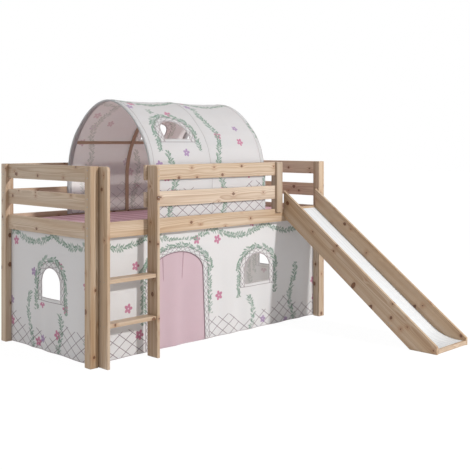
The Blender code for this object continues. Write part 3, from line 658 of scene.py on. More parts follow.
def print_marks(tree, across, along, layout):
    """The print's marks: borders and garlands round the openings, climbers, swags, trellis, flowers.

    A layout holds the openings, the climbers' pitch, start, sway and heights, the swags' top, span
    and drop, and the height that the trellis reaches.
    """
    wobble = (cloudy_at(tree, across * 11.0, along * 11.0, 0.0, 1.0) - 0.5) * 0.012
    first = layout["openings"][0]
    off, way = round_opening(across, along, first)
    border_foot = off * 0.0 + first.border_foot
    hang = off * 0.0 + first.garland_foot
    for opening in layout["openings"][1:]:
        other_off, other_way = round_opening(across, along, opening)
        closer = (off - other_off).over(0.0, 0.0005)
        off, way = closer.pick(off, other_off), closer.pick(way, other_way)
        border_foot = closer.pick(border_foot, off * 0.0 + opening.border_foot)
        hang = closer.pick(hang, off * 0.0 + opening.garland_foot)
    foot = (along - border_foot).over(0.0, 0.002)
    outside = off.over(-0.02, 0.001)
    room = off.at_least(border_foot - along + BORDER_OUTER)

    swing = (way * (math.pi / PLAIT_PITCH)).join("SINE") * PLAIT_SWING
    inner = line(off - BORDER_INNER, BORDER_LINE)
    outer = line(off - BORDER_OUTER + wobble * 0.2, BORDER_OUTER_LINE)
    one_strand = line(off - BORDER_MIDDLE - swing, BORDER_LINE)
    other_strand = line(off - BORDER_MIDDLE + swing, BORDER_LINE)
    plaited = inner.at_least(outer).at_least(one_strand.at_least(other_strand))
    border = inked(plaited) * foot * outside
    sill = inked(line(along - border_foot, SILL_LINE)) * (-off).over(-BORDER_OUTER, 0.001)
    border = border.at_least(sill)

    kept = (along - hang + wobble * 4.0).over(0.0, 0.002)
    stem, leaves, pale = garland(tree, way, off - GARLAND_OFF + wobble, **GARLAND_LEAVES)
    marks = [(stem * kept, leaves * kept, pale)]

    clear = room.over(0.098, 0.002)
    climbers = layout["climbers"]
    column = (across / climbers["pitch"] + climbers["start"]).join("FLOOR")
    bend = (along * 15.0 + column * 2.1).join("SINE") * climbers["sway"]
    climb = across - (column - climbers["start"] + 0.5) * climbers["pitch"] - bend + wobble
    height = chance(tree, column, 4.0, 2.0) * climbers["spread"] + climbers["least"]
    grown = (height - along).over(0.0, 0.004) * clear
    stem, leaves, pale = garland(tree, along + 3.0, climb, **CLIMBER_LEAVES)
    marks.append((stem * grown, leaves * grown, pale))

    swags = layout["swags"]
    arc = (across * (math.pi / swags["span"])).join("SINE").join("ABSOLUTE")
    swag = along - swags["top"] + arc * swags["drop"]
    stem, leaves, pale = garland(tree, across + 3.0, swag + wobble * 0.8, **GARLAND_LEAVES)
    marks.append((stem * clear, leaves * clear, pale))

    stem, leaves, pale = marks[0]
    for other_stem, other_leaves, other_pale in marks[1:]:
        pale = other_leaves.pick(pale, other_pale)
        stem = stem.at_least(other_stem)
        leaves = leaves.at_least(other_leaves)

    ragged = (across * 8.3).join("SINE") * 0.045 + (across * 23.0).join("SINE") * 0.022
    rising = (across / TRELLIS_WIDE + along / TRELLIS_HIGH).join("FRACT")
    falling = (across / TRELLIS_WIDE - along / TRELLIS_HIGH + 50.0).join("FRACT")
    slats = [line((slat - 0.5) * TRELLIS_SLANT, TRELLIS_LINE) for slat in (rising, falling)]
    trellis = inked(slats[0].at_least(slats[1]))
    low = (ragged - along + layout["trellis"]).over(0.0, 0.003) * room.over(BORDER_OUTER, 0.002)
    ink = border.at_least(trellis * low)

    free = (-leaves + 1.0) * room.over(0.055, 0.002)
    pink = blossoms(tree, across, along, **PINK_BLOSSOMS) * free
    purple = blossoms(tree, across + 0.1, along + 0.07, **PURPLE_BLOSSOMS) * free
    return ink, stem, leaves, pale, pink, purple


def printed(layout, ground=CLOTH_WHITE, strength=1.0):
    """A colour_of for the printed cloth; strength is under 1 where the print only shines through."""

    def shade(tree, across, along):
        ink, stem, leaves, pale, pink, purple = print_marks(tree, across, along, layout)
        colour = tint(tree, ink * (0.95 * strength), ground, INK_LINE)
        colour = tint(tree, stem * (0.70 * strength), colour, INK_LEAF)
        colour = tint(tree, leaves * (0.95 * strength) * (pale * -0.45 + 1.0), colour, INK_LEAF)
        colour = tint(tree, pink * (0.85 * strength), colour, INK_PINK)
        return tint(tree, purple * (0.85 * strength), colour, INK_PURPLE)

    return shade


# Cloth pieces


class Arch:
    """An arched opening in a cloth's flat pattern; sill is None where it is open to the hem.

    A flare widens its right foot. The printed border round it ends at border_foot, and the garland
    at garland_foot.
    """

    def __init__(self, centre, width, springing, rise, garland_foot, sill=None, flare=0.0):
        self.centre = centre
        self.half = width / 2
        self.sill = sill
        self.springing = springing
        self.rise = rise
        self.flare = flare
        self.border_foot = 0.0 if sill is None else sill - 0.022
        self.garland_foot = garland_foot

    def right(self, v):
        """How far the right edge stands from the middle at a height under the springing."""
        return self.half + self.flare * (self.springing - v) / self.springing

    def off(self, u, v):
        """Distance from the edge, positive in the cloth."""
        x = u - self.centre
        if v > self.springing:
            up = v - self.springing
            share = math.hypot(x / self.half, up / self.rise)
            if share == 0.0:
                return -min(self.half, self.rise)
            slope = math.hypot(x / self.half**2, up / self.rise**2) / share
            return (share - 1.0) / slope
        side = x - self.right(v) if x > 0 else -x - self.half
        if self.sill is None:
            return side
        return max(side, self.sill - v)

    def pull(self, u, v):
        """The nearest place on the edge, found in a few steps down the slope."""
        tiny = 1e-5
        for _ in range(4):
            away = self.off(u, v)
            slope_u = (self.off(u + tiny, v) - away) / tiny
            slope_v = (self.off(u, v + tiny) - away) / tiny
            size = slope_u * slope_u + slope_v * slope_v
            if size == 0.0:
                break
            u -= away * slope_u / size
            v -= away * slope_v / size
        return u, v

    def edge(self, foot, step=0.008):
        """Points along the edge, from the right foot over to the left, with the way into the cloth."""
        low = foot if self.sill is None else self.sill
        rise_steps = max(2, round((self.springing - low) / step))
        bend_steps = max(8, round(math.pi * (self.half + self.rise) / 2 / step))
        points = []
        for i in range(rise_steps):
            height = low + (self.springing - low) * i / rise_steps
            points.append((self.centre + self.right(height), height, 1.0, 0.0))
        for i in range(bend_steps + 1):
            angle = math.pi * i / bend_steps
            x, y = math.cos(angle), math.sin(angle)
            out = Vector((x / self.half, y / self.rise)).normalized()
            points.append((self.centre + self.half * x, self.springing + self.rise * y, out.x, out.y))
        for i in range(rise_steps):
            height = self.springing - (self.springing - low) * (i + 1) / rise_steps
            points.append((self.centre - self.half, height, -1.0, 0.0))
        if self.sill is not None:
            across_steps = max(2, round(2 * self.half / step))
            for i in range(1, across_steps):
                u = self.centre - self.half + 2 * self.half * i / across_steps
                points.append((u, low, 0.0, -1.0))
        return points


def steps_between(start, stop, size):
    count = max(2, math.ceil((stop - start) / size))
    return [start + (stop - start) * i / count for i in range(count + 1)]


def new_piece(name, bm, *finishes):
    mesh = bpy.data.meshes.new(name)
    bm.to_mesh(mesh)
    bm.free()
    obj = bpy.data.objects.new(name, mesh)
    bpy.context.scene.collection.objects.link(obj)
    for finish in finishes:
        mesh.materials.append(finish)
    mesh.shade_smooth()
    return obj


def bake_modifiers(obj):
    """Applies a piece's modifiers to its mesh."""
    graph = bpy.context.evaluated_depsgraph_get()
    mesh = bpy.data.meshes.new_from_object(obj.evaluated_get(graph))
    obj.modifiers.clear()
    old = obj.data
    obj.data = mesh
    bpy.data.meshes.remove(old)
    return obj


def sheet_of_cloth(name, us, vs, place, openings, finish, lining, flip=False):
    """A thin closed cloth over a grid of its flat pattern, cut and drawn up to each opening's edge."""
    grid = {}
    kept = []
    for i in range(len(us) - 1):
        for j in range(len(vs) - 1):
            u = (us[i] + us[i + 1]) / 2
            v = (vs[j] + vs[j + 1]) / 2
            if all(opening.off(u, v) > 0.0 for opening in openings):
                kept.append((i, j))
    used = {}
    for i, j in kept:
        for key in ((i, j), (i + 1, j), (i + 1, j + 1), (i, j + 1)):
            used[key] = used.get(key, 0) + 1
    flat = {}
    for (i, j), count in used.items():
        u, v = us[i], vs[j]
        on_rim = i in (0, len(us) - 1) or j in (0, len(vs) - 1)
        for opening in openings:
            away = opening.off(u, v)
            ragged = (count < 4 and not on_rim) or (count < 2 and j == 0)
            if away < 0.0 or (ragged and away < 2 * CLOTH_STEP):
                u, v = opening.pull(u, v)
        flat[(i, j)] = (u, v)
    bm = bmesh.new()
    for key, (u, v) in flat.items():
        grid[key] = bm.verts.new(place(u, v))
    layer = bm.loops.layers.uv.new("flat")
    for i, j in kept:
        keys = [(i, j), (i + 1, j), (i + 1, j + 1), (i, j + 1)]
        if flip:
            keys.reverse()
        face = bm.faces.new([grid[key] for key in keys])
        for loop, key in zip(face.loops, keys):
            loop[layer].uv = flat[key]
    obj = new_piece(name, bm, finish, lining)
    thick = obj.modifiers.new("thickness", "SOLIDIFY")
    thick.thickness = CLOTH
    thick.offset = 0.0
    thick.material_offset = 1
    thick.material_offset_rim = 1
    return bake_modifiers(obj)


def surface_normal(place, u, v, flip=False):
    tiny = 0.002
    along_u = place(u + tiny, v) - place(u - tiny, v)
    along_v = place(u, v + tiny) - place(u, v - tiny)
    normal = along_u.cross(along_v).normalized()
    return -normal if flip else normal


def above(place, u, v, lift, flip=False):
    """A point over the cloth's middle, or under it where lift is negative."""
    return place(u, v) + surface_normal(place, u, v, flip) * lift


def skin(bm, rings, ways, step):
    """Faces from each ring of points to the next. On their flat pattern each face is a step wide."""
    layer = bm.loops.layers.uv.new("flat")
    count = len(rings[0])
    for number in range(len(rings) - 1):
        lower, upper = rings[number : number + 2]
        start, stop = ways[number : number + 2]
        for i in range(count):
            j = (i + 1) % count
            face = bm.faces.new((lower[i], lower[j], upper[j], upper[i]))
            corners = ((i, start), (i + 1, start), (i + 1, stop), (i, stop))
            for loop, (across, along) in zip(face.loops, corners):
                loop[layer].uv = (across * step, along)


def binding(name, edge, closed, place, finish, flip=False):
    """A folded tape over a cloth's edge. edge lists (u, v, direction into the cloth)."""
    bm = bmesh.new()
    half = CLOTH / 2 + BINDING_PROUD
    upper_side = ((BINDING_WIDTH, half * 0.9), (BINDING_WIDTH * 0.5, half), (-0.0004, half))
    lower_side = tuple((inwards, -lift) for inwards, lift in reversed(upper_side))
    section = upper_side + ((-0.0012, 0.0),) + lower_side
    rings = []
    ways = []
    travel = 0.0
    before = None
    for u, v, into_u, into_v in edge:
        middle = place(u, v)
        travel += (middle - before).length if before is not None else 0.0
        before = middle
        ring = []
        for inwards, lift in section:
            at_u, at_v = u + into_u * inwards, v + into_v * inwards
            ring.append(bm.verts.new(above(place, at_u, at_v, lift, flip)))
        rings.append(ring)
        ways.append(travel)
    if closed:
        rings.append(rings[0])
        ways.append(travel + (place(*edge[0][:2]) - before).length)
    skin(bm, rings, ways, BINDING_WIDTH / 3)
    if not closed:
        bm.faces.new(rings[0])
        bm.faces.new(rings[-1])
    bmesh.ops.recalc_face_normals(bm, faces=bm.faces)
    return new_piece(name, bm, finish)


def piping(name, line_points, radius, finish):
    """A thin round seam along a line of points."""
    bm = bmesh.new()
    rings = []
    for i, point in enumerate(line_points):
        ahead = line_points[min(i + 1, len(line_points) - 1)]
        along = (ahead - line_points[max(i - 1, 0)]).normalized()
        side = along.cross(Vector((1.0, 0.0, 0.0))).normalized()
        up = along.cross(side)
        ring = []
        for step in range(6):
            angle = math.pi / 3 * step
            ring.append(bm.verts.new(point + (side * math.cos(angle) + up * math.sin(angle)) * radius))
        rings.append(ring)
    skin(bm, rings, [number * CLOTH_STEP for number in range(len(rings))], radius)
    bm.faces.new(rings[0])
    bm.faces.new(rings[-1])
    bmesh.ops.recalc_face_normals(bm, faces=bm.faces)
    return new_piece(name, bm, finish)


def join_pieces(name, pieces):
    """Joins finished pieces into the first one, under a new name."""
    first = pieces[0]
    bpy.ops.object.select_all(action="DESELECT")
    for piece in pieces:
        piece.select_set(True)
    bpy.context.view_layer.objects.active = first
    bpy.ops.object.join()
    first.name = name
    first.data.name = name
    return first


# Stitches and screws


def new_tree(name, *sizes):
    """A tree of geometry nodes with its entry, its exit and the identifiers of its named sizes."""
    tree = bpy.data.node_groups.new(name, "GeometryNodeTree")
    tree.interface.new_socket("Geometry", in_out="INPUT", socket_type="NodeSocketGeometry")
    inputs = {}
    for size in sizes:
        socket = tree.interface.new_socket(size, in_out="INPUT", socket_type="NodeSocketFloat")
        inputs[size] = socket.identifier
    tree.interface.new_socket("Geometry", in_out="OUTPUT", socket_type="NodeSocketGeometry")
    entry = tree.nodes.new("NodeGroupInput")
    leave = tree.nodes.new("NodeGroupOutput")
    return tree, inputs, entry, leave


def dyed(tree, geometry, material):
    node = tree.nodes.new("GeometryNodeSetMaterial")
    node.inputs["Material"].default_value = material
    tree.links.new(geometry, node.inputs["Geometry"])
    return node.outputs[0]


def grow(obj, tree, inputs, sizes):
    """Runs a tree on a piece with the sizes given, and makes what comes out its mesh."""
    modifier = obj.modifiers.new(tree.name, "NODES")
    modifier.node_group = tree
    for name, size in sizes.items():
        modifier[inputs[name]] = size
    return bake_modifiers(obj)


def stitch_tree(thread):
    """Geometry nodes that lay a short stitch at each step along the edges of a mesh of lines."""
    tree, inputs, entry, leave = new_tree("stitches", "Pitch", "Length", "Width")
    link = tree.links.new
    lines = tree.nodes.new("GeometryNodeMeshToCurve")
    link(entry.outputs["Geometry"], lines.inputs[0])
    points = tree.nodes.new("GeometryNodeCurveToPoints")
    points.mode = "LENGTH"
    link(lines.outputs[0], points.inputs["Curve"])
    link(entry.outputs["Pitch"], points.inputs["Length"])
    bead = tree.nodes.new("GeometryNodeMeshCylinder")
    bead.inputs["Vertices"].default_value = 5
    link((Field(tree, entry.outputs["Width"]) * 0.5).socket, bead.inputs["Radius"])
    link(entry.outputs["Length"], bead.inputs["Depth"])
    copies = tree.nodes.new("GeometryNodeInstanceOnPoints")
    link(points.outputs["Points"], copies.inputs["Points"])
    link(points.outputs["Rotation"], copies.inputs["Rotation"])
    link(bead.outputs["Mesh"], copies.inputs["Instance"])
    real = tree.nodes.new("GeometryNodeRealizeInstances")
    link(copies.outputs[0], real.inputs[0])
    link(dyed(tree, real.outputs[0], thread), leave.inputs[0])
    return tree, inputs, thread


def sew(name, runs, stitching):
    """Stitches along runs of points, each with whether it closes on itself."""
    tree, inputs, thread = stitching
    bm = bmesh.new()
    for run, closed in runs:
        verts = [bm.verts.new(point) for point in run]
        for first, second in zip(verts, verts[1:]):
            bm.edges.new((first, second))
        if closed:
            bm.edges.new((verts[-1], verts[0]))
    obj = new_piece(name, bm, thread)
    sizes = {"Pitch": STITCH_PITCH, "Length": STITCH_LENGTH, "Width": STITCH_WIDTH}
    return grow(obj, tree, inputs, sizes)


def screw_tree(steel, shade):
    """Geometry nodes that set a round head with a cross in it on each point, facing its own way. The
    cross is a dark bar of painted shade for its recess.
    """
    tree, inputs, entry, leave = new_tree("screws", "Radius", "Proud")
    link = tree.links.new
    radius = Field(tree, entry.outputs["Radius"])
    proud = Field(tree, entry.outputs["Proud"])

    head = tree.nodes.new("GeometryNodeMeshCylinder")
    head.inputs["Vertices"].default_value = 16
    link(radius.socket, head.inputs["Radius"])
    link((proud * 2.0).socket, head.inputs["Depth"])
    whole_head = tree.nodes.new("GeometryNodeJoinGeometry")
    link(dyed(tree, head.outputs["Mesh"], steel), whole_head.inputs[0])
    # The cross is a dark bar over the head: painted shade standing in for its recess.
    for long_axis in (0, 1):
        sides = [radius * (1.15 if axis == long_axis else 0.26) for axis in (0, 1)]
        slot = tree.nodes.new("GeometryNodeMeshCube")
        link(vector_of(tree, *sides, proud * 2.1), slot.inputs["Size"])
        link(dyed(tree, slot.outputs["Mesh"], shade), whole_head.inputs[0])

    facing = tree.nodes.new("GeometryNodeInputNamedAttribute")
    facing.data_type = "FLOAT_VECTOR"
    facing.inputs["Name"].default_value = "facing"
    align = tree.nodes.new("FunctionNodeAlignRotationToVector")
    align.axis = "Z"
    link(facing.outputs[0], align.inputs["Vector"])
    turn = tree.nodes.new("FunctionNodeRandomValue")
    turn.data_type = "FLOAT"
    turn.inputs["Seed"].default_value = 7
    turn.inputs[3].default_value = 6.28
    spin = tree.nodes.new("FunctionNodeAxisAngleToRotation")
    spin.inputs["Axis"].default_value = (0.0, 0.0, 1.0)
    link(turn.outputs[1], spin.inputs["Angle"])
    turned = tree.nodes.new("FunctionNodeRotateRotation")
    turned.rotation_space = "LOCAL"
    link(align.outputs[0], turned.inputs["Rotation"])
    link(spin.outputs[0], turned.inputs["Rotate By"])

    points = tree.nodes.new("GeometryNodeMeshToPoints")
    link(entry.outputs["Geometry"], points.inputs["Mesh"])
    copies = tree.nodes.new("GeometryNodeInstanceOnPoints")
    link(points.outputs[0], copies.inputs["Points"])
    link(whole_head.outputs[0], copies.inputs["Instance"])
    link(turned.outputs[0], copies.inputs["Rotation"])
    real = tree.nodes.new("GeometryNodeRealizeInstances")
    link(copies.outputs[0], real.inputs[0])
    link(real.outputs[0], leave.inputs[0])
    return tree, inputs


def heads(name, places, screws, finishes, sizes):
    """Screw heads at places, each a point and the way it faces."""
    bm = bmesh.new()
    layer = bm.verts.layers.float_vector.new("facing")
    for point, facing in places:
        bm.verts.new(point)[layer] = facing
    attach(grow(new_piece(name, bm, *finishes), *screws, sizes), "bed")


def screw_metal(name, colour, metallic, roughness):
    material, shader = new_finish(name)[::2]
    shader.inputs["Base Color"].default_value = (*colour, 1.0)
    shader.inputs["Metallic"].default_value = metallic
    shader.inputs["Roughness"].default_value = roughness
    return material


def fastenings():
    """Screws that hold the end boards, the ladder, the slide and the guard boards."""
    # The second finish is painted shade for the heads' crosses.
    finishes = (
        screw_metal("screw_steel", STEEL, 1.0, 0.38),
        screw_metal("screw_cross_shade", SCREW_CROSS_SHADE, 0.0, 0.6),
    )
    screws = screw_tree(*finishes)
    left, right = Vector((-1.0, 0.0, 0.0)), Vector((1.0, 0.0, 0.0))
    large = []
    for end, facing in (("left", left), ("right", right)):
        for row in ("top", "middle", "low"):
            low, high = box_of(f"end_board_{end}_{row}")
            middle = (low.z + high.z) / 2
            for side in ("front", "back"):
                low, high = box_of(f"post_{side}_{end}")
                x = low.x if end == "left" else high.x
                for offset in (-0.022, 0.022):
                    large.append((Vector((x, (low.y + high.y) / 2, middle + offset)), facing))
    small = []

    def through(kind, y, z):
        """A screw from each side at one height through the ladder's or the slide's side boards."""
        small.append((Vector((box_of(f"{kind}_side_left")[0].x, y, z)), left))
        small.append((Vector((box_of(f"{kind}_side_right")[1].x, y, z)), right))

    for number in (1, 2):
        low, high = box_of(f"rung_{number}")
        for share in (0.25, 0.75):
            through("ladder", low.y + (high.y - low.y) * share, (low.z + high.z) / 2)
    for number in (1, 2, 3):
        low, high = box_of(f"slide_batten_{number}")
        for step in (-0.013, 0.013):
            spot = (low + high) / 2 + slide_slope() * step
            through("slide", spot.y, spot.z)
    side_low, side_high = box_of("ladder_side_right")
    for row in ("top", "middle"):
        low, high = box_of(f"guard_board_{row}")
        for share in (0.3, 0.7):
            z = low.z + (high.z - low.z) * share
            spot = Vector(((side_low.x + side_high.x) / 2, side_low.y, z))
            small.append((spot, Vector((0.0, -1.0, 0.0))))
    heads("end_board_screws", large, screws, finishes, LARGE_SCREW)
    heads("ladder_and_slide_screws", small, screws, finishes, SMALL_SCREW)


# Curtains, flap and tunnel


def fold(along, height):
    """How far hanging cloth stands in from its line, as in the solids."""
    drop = max(0.0, FLAP_TOP - height) / FLAP_TOP
    wave = math.cos(2 * math.pi * along / FOLD_PITCH + 0.9 * math.sin(2.3 * along / FOLD_PITCH))
    return FOLD_DEPTH * math.sqrt(drop) * (1 - wave) / 2


def creases(u, v, seed, size):
    """Soft creases of cloth that was folded and hung."""
    broad = noise.noise(Vector((u * 5.0, v * 2.2, seed)))
    fine = noise.noise(Vector((u * 16.0, v * 6.0, seed + 7.0)))
    return size * (broad + 0.35 * fine)


def curtain_front(finishes, stitching):
    low, high = box_of("curtain_front_left")[0], box_of("curtain_front_right")[1]

    def place(u, v):
        y = low.y + CAD_CLOTH / 2 + fold(u, v) + creases(u, v, 1.0, 0.0006)
        return Vector((LEFT + u, y, v))

    door = Arch(**DOOR, garland_foot=0.170)
    window = Arch(**FRONT_WINDOW, garland_foot=0.235)
    layout = {
        "openings": [door, window],
        "climbers": {"pitch": 0.44, "start": 0.42, "sway": 0.030, "least": 0.26, "spread": 0.24},
        "swags": {"top": 0.715, "span": 0.50, "drop": 0.060},
        "trellis": 0.125,
    }
    curtain(
        "curtain_front",
        nodes=("curtain_front_left", "curtain_front_right"),
        across=(low.x - LEFT, high.x - LEFT),
        up=(low.z, high.z),
        place=place,
        layout=layout,
        finishes=finishes,
        stitching=stitching,
        flip=False,
    )


def curtain_end(side, finishes, stitching):
    node = "curtain_" + side
    low, high = box_of(node)
    sign = 1.0 if side == "left" else -1.0
    line_x = low.x if side == "left" else high.x

    def place(u, v):
        x = line_x + sign * (CAD_CLOTH / 2 + fold(u, v) + creases(u, v, 2.0 + sign, 0.0006))
        return Vector((x, FRONT + u, v))

    middle = LEFT_WINDOW if side == "left" else RIGHT_WINDOW
    window = Arch(middle, **END_WINDOW, garland_foot=0.250)
    layout = {
        "openings": [window],
        "climbers": {"pitch": 0.31, "start": 0.25, "sway": 0.026, "least": 0.20, "spread": 0.22},
        "swags": {"top": 0.715, "span": 0.435, "drop": 0.055},
        "trellis": 0.150,
    }
    curtain(
        node,
        nodes=(node,),
        across=(low.y - FRONT, high.y - FRONT),
        up=(low.z, high.z),
        place=place,
        layout=layout,
        finishes=finishes,
        stitching=stitching,
        flip=side == "left",
    )


def curtain(name, nodes, across, up, place, layout, finishes, stitching, flip):
    """A printed curtain with its openings and hems turned in and stitched."""
    openings = layout["openings"]
    finish = cloth_finish("print_" + name, printed(layout))
    # The lining's ground is the cloth painted lighter: painted light inside the bed.
    lining = cloth_finish("lining_" + name, printed(layout, CLOTH_INSIDE_PAINTED_LIGHT, 0.35))
    us = steps_between(*across, CLOTH_STEP)
    vs = steps_between(*up, CLOTH_STEP)
    cloth = sheet_of_cloth(name + "_cloth", us, vs, place, openings, finish, lining, flip)
    trims = []
    runs = []
    for number, opening in enumerate(openings):
        edge = opening.edge(up[0])
        closed = opening.sill is not None
        edging = finishes["binding"] if closed else finishes["door_edge"]
        trims.append(binding(f"{name}_binding_{number}", edge, closed, place, edging, flip))
        runs.append((seam(edge, BINDING_WIDTH * 1.6, place, flip), closed))
    for number, side in enumerate(rim_of(us, vs, openings)):
        trims.append(binding(f"{name}_hem_{number}", side, False, place, finishes["binding"], flip))
        runs.append((seam(side, HEM_WIDTH, place, flip), False))
    trim, stitches = dress(name, cloth, trims, runs, stitching, nodes, "bed")


def dress(name, cloth, trims, runs, stitching, nodes, body):
    """Joins a cloth's trims, sews its stitches, and sets what the three replace and ride on."""
    stitches = sew(name + "_stitches", runs, stitching)
    trim = join_pieces(name + "_trim", trims)
    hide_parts(*nodes)
    for piece in (cloth, trim, stitches):
        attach(piece, body)
    return trim, stitches


def seam(edge, inwards, place, flip):
    """A line of stitching a little way in from an edge, just above the cloth."""
    lift = CLOTH / 2 + BINDING_PROUD + STITCH_WIDTH * 0.25
    points = []
    for u, v, into_u, into_v in edge:
        points.append(above(place, u + into_u * inwards, v + into_v * inwards, lift, flip))
    return points


def rim_of(us, vs, openings):
    """The cloth's sides, foot and head as edges, with the foot left out where a doorway is."""
    inset = 0.0006
    foot, head = vs[0] + inset, vs[-1] - inset
    sides = [
        [(us[0] + inset, v, 1.0, 0.0) for v in vs],
        [(us[-1] - inset, v, -1.0, 0.0) for v in vs],
    ]
    doors = [opening for opening in openings if opening.sill is None]
    stretch = []
    for u in us:
        if any(abs(u - opening.centre) < opening.half + 0.001 for opening in doors):
            if stretch:
                sides.append(stretch)
            stretch = []
        else:
            stretch.append((u, foot, 0.0, 1.0))
    sides.append(stretch)
    sides.append([(u, head, 0.0, -1.0) for u in us])
    return sides


def door_flap(finishes, stitching):
    low, high = box_of("door_flap")

    def place(u, v):
        fade = max(0.0, 1 - (FLAP_TOP - v) / PLEAT_LENGTH)
        lean = PLEAT_LEAN * (FLAP_TOP - v) / PLEAT_LENGTH
        nearest = min(abs(u - PLEATS[0] - lean), abs(u - PLEATS[1] + lean))
        pleat = PLEAT_DEPTH * fade**0.25 * max(0.0, 1 - 2 * nearest / PLEAT_CREASE)
        y = low.y + CAD_CLOTH / 2 + fold(u, v) + pleat + max(0.0, creases(u, v, 9.0, 0.0012))
        return Vector((LEFT + u, y, v))

    us = steps_between(low.x - LEFT, high.x - LEFT, PLEAT_CREASE / 4)
    vs = steps_between(low.z, high.z, CLOTH_STEP)
    pink = finishes["pink"]
    cloth = sheet_of_cloth("door_flap_cloth", us, vs, place, [], pink, pink)
    trims = []
    runs = []
    for number, side in enumerate(rim_of(us, vs, [])):
        trims.append(binding(f"flap_hem_{number}", side, False, place, pink))
        runs.append((seam(side, HEM_WIDTH, place, False), False))
    nodes = ("door_flap",)
    trim, stitches = dress("door_flap", cloth, trims, runs, stitching, nodes, "door_flap")


def arch_point(angle):
    """A point (y, z) of the outer arch from its centre and springing; angle runs from front to back."""
    across = -math.copysign(abs(math.cos(angle)) ** (2 / ARCH_POWER), math.cos(angle))
    return Vector((ARCH_HALF * across, ARCH_RISE * max(0.0, math.sin(angle)) ** (2 / ARCH_POWER)))


def by_purlin(point):
    """1 where the tunnel's line passes over a purlin, falling to 0 on both sides of it."""
    purlin_half = (1 - (PURLIN_RISE / ARCH_RISE) ** ARCH_POWER) ** (1 / ARCH_POWER)
    purlin = Vector((ARCH_HALF * purlin_half, PURLIN_RISE))
    away = (Vector((abs(point.x), point.y)) - purlin).length
    return max(0.0, min(1.0, 1 - (away - PURLIN_FLAT) / PURLIN_FALL))


def tunnel_line(leg):
    """The tunnel's line as points (y, z) and their distance along it from the crown."""
    points = []
    steps = 240
    for step in range(steps + 1):
        point = arch_point(math.pi * step / steps)
        lift = PURLIN_LIFT * by_purlin(point)
        level = Vector((math.copysign(1, point.x), 0))
        outward = point.normalized() if point.y > 0 else level
        points.append(point + outward * lift)
    feet = steps_between(-leg, 0.0, 0.02)[:-1]
    points = [Vector((points[0].x, z)) for z in feet] + points
    points += [Vector((points[-1].x, z)) for z in reversed(feet)]
    travel = [0.0]
    for first, second in zip(points, points[1:]):
        travel.append(travel[-1] + (second - first).length)
    crown = travel[-1] / 2
    return points, [reach - crown for reach in travel]


class Profile:
    """Reads a line of points by the distance along it."""

    def __init__(self, points, travel):
        self.points = points
        self.travel = travel

    def at(self, reach):
        low, high = 0, len(self.travel) - 1
        reach = max(self.travel[0], min(self.travel[-1], reach))
        while high - low > 1:
            middle = (low + high) // 2
            if self.travel[middle] <= reach:
                low = middle
            else:
                high = middle
        share = (reach - self.travel[low]) / (self.travel[high] - self.travel[low])
        return self.points[low].lerp(self.points[high], share)

    def reach_of(self, height, side):
        """The distance along the line at a height, on the front (-1) or the back (1)."""
        nearest = []
        for point, reach in zip(self.points, self.travel):
            if reach * side > 0 and point.y > 0:
                nearest.append((abs(point.y - height), reach))
        return min(nearest)[1]


def sleeve_section(depth):
    """The turned cloth's section at one place: how far in from the edge, and how far under the cloth."""
    reach = HOOP_WIDTH + 0.004
    thin = 0.0004
    return (
        (-0.0008, -CLOTH / 2),
        (-0.0008, depth),
        (reach, depth),
        (reach + 0.003, 0.0022),
        (reach + 0.0026, 0.0020),
        (reach - thin, depth - thin),
        (-thin, depth - thin),
        (-thin, -CLOTH / 2),
    )


def hoop_sleeve(name, edge, inwards, vs, place, depth_at, finish):
    """The cloth turned over the tunnel's edge and back under the outer hoop, as one strip."""
    bm = bmesh.new()
    rings = []
    for v in vs:
        outward = surface_normal(place, edge + inwards * 0.004, v)
        middle = place(edge, v)
        ring = []
        for across, under in sleeve_section(depth_at(v)):
            spot = middle - outward * under
            spot.x = middle.x + inwards * across
            ring.append(bm.verts.new(spot))
        rings.append(ring)
    skin(bm, rings, [number * CLOTH_STEP for number in range(len(rings))], 0.01)
    count = len(rings[0])
    for ring in (rings[0], rings[-1]):
        for i in range(count // 2 - 1):
            bm.faces.new((ring[i], ring[i + 1], ring[count - 2 - i], ring[count - 1 - i]))
    bmesh.ops.recalc_face_normals(bm, faces=bm.faces)
    return new_piece(name, bm, finish)


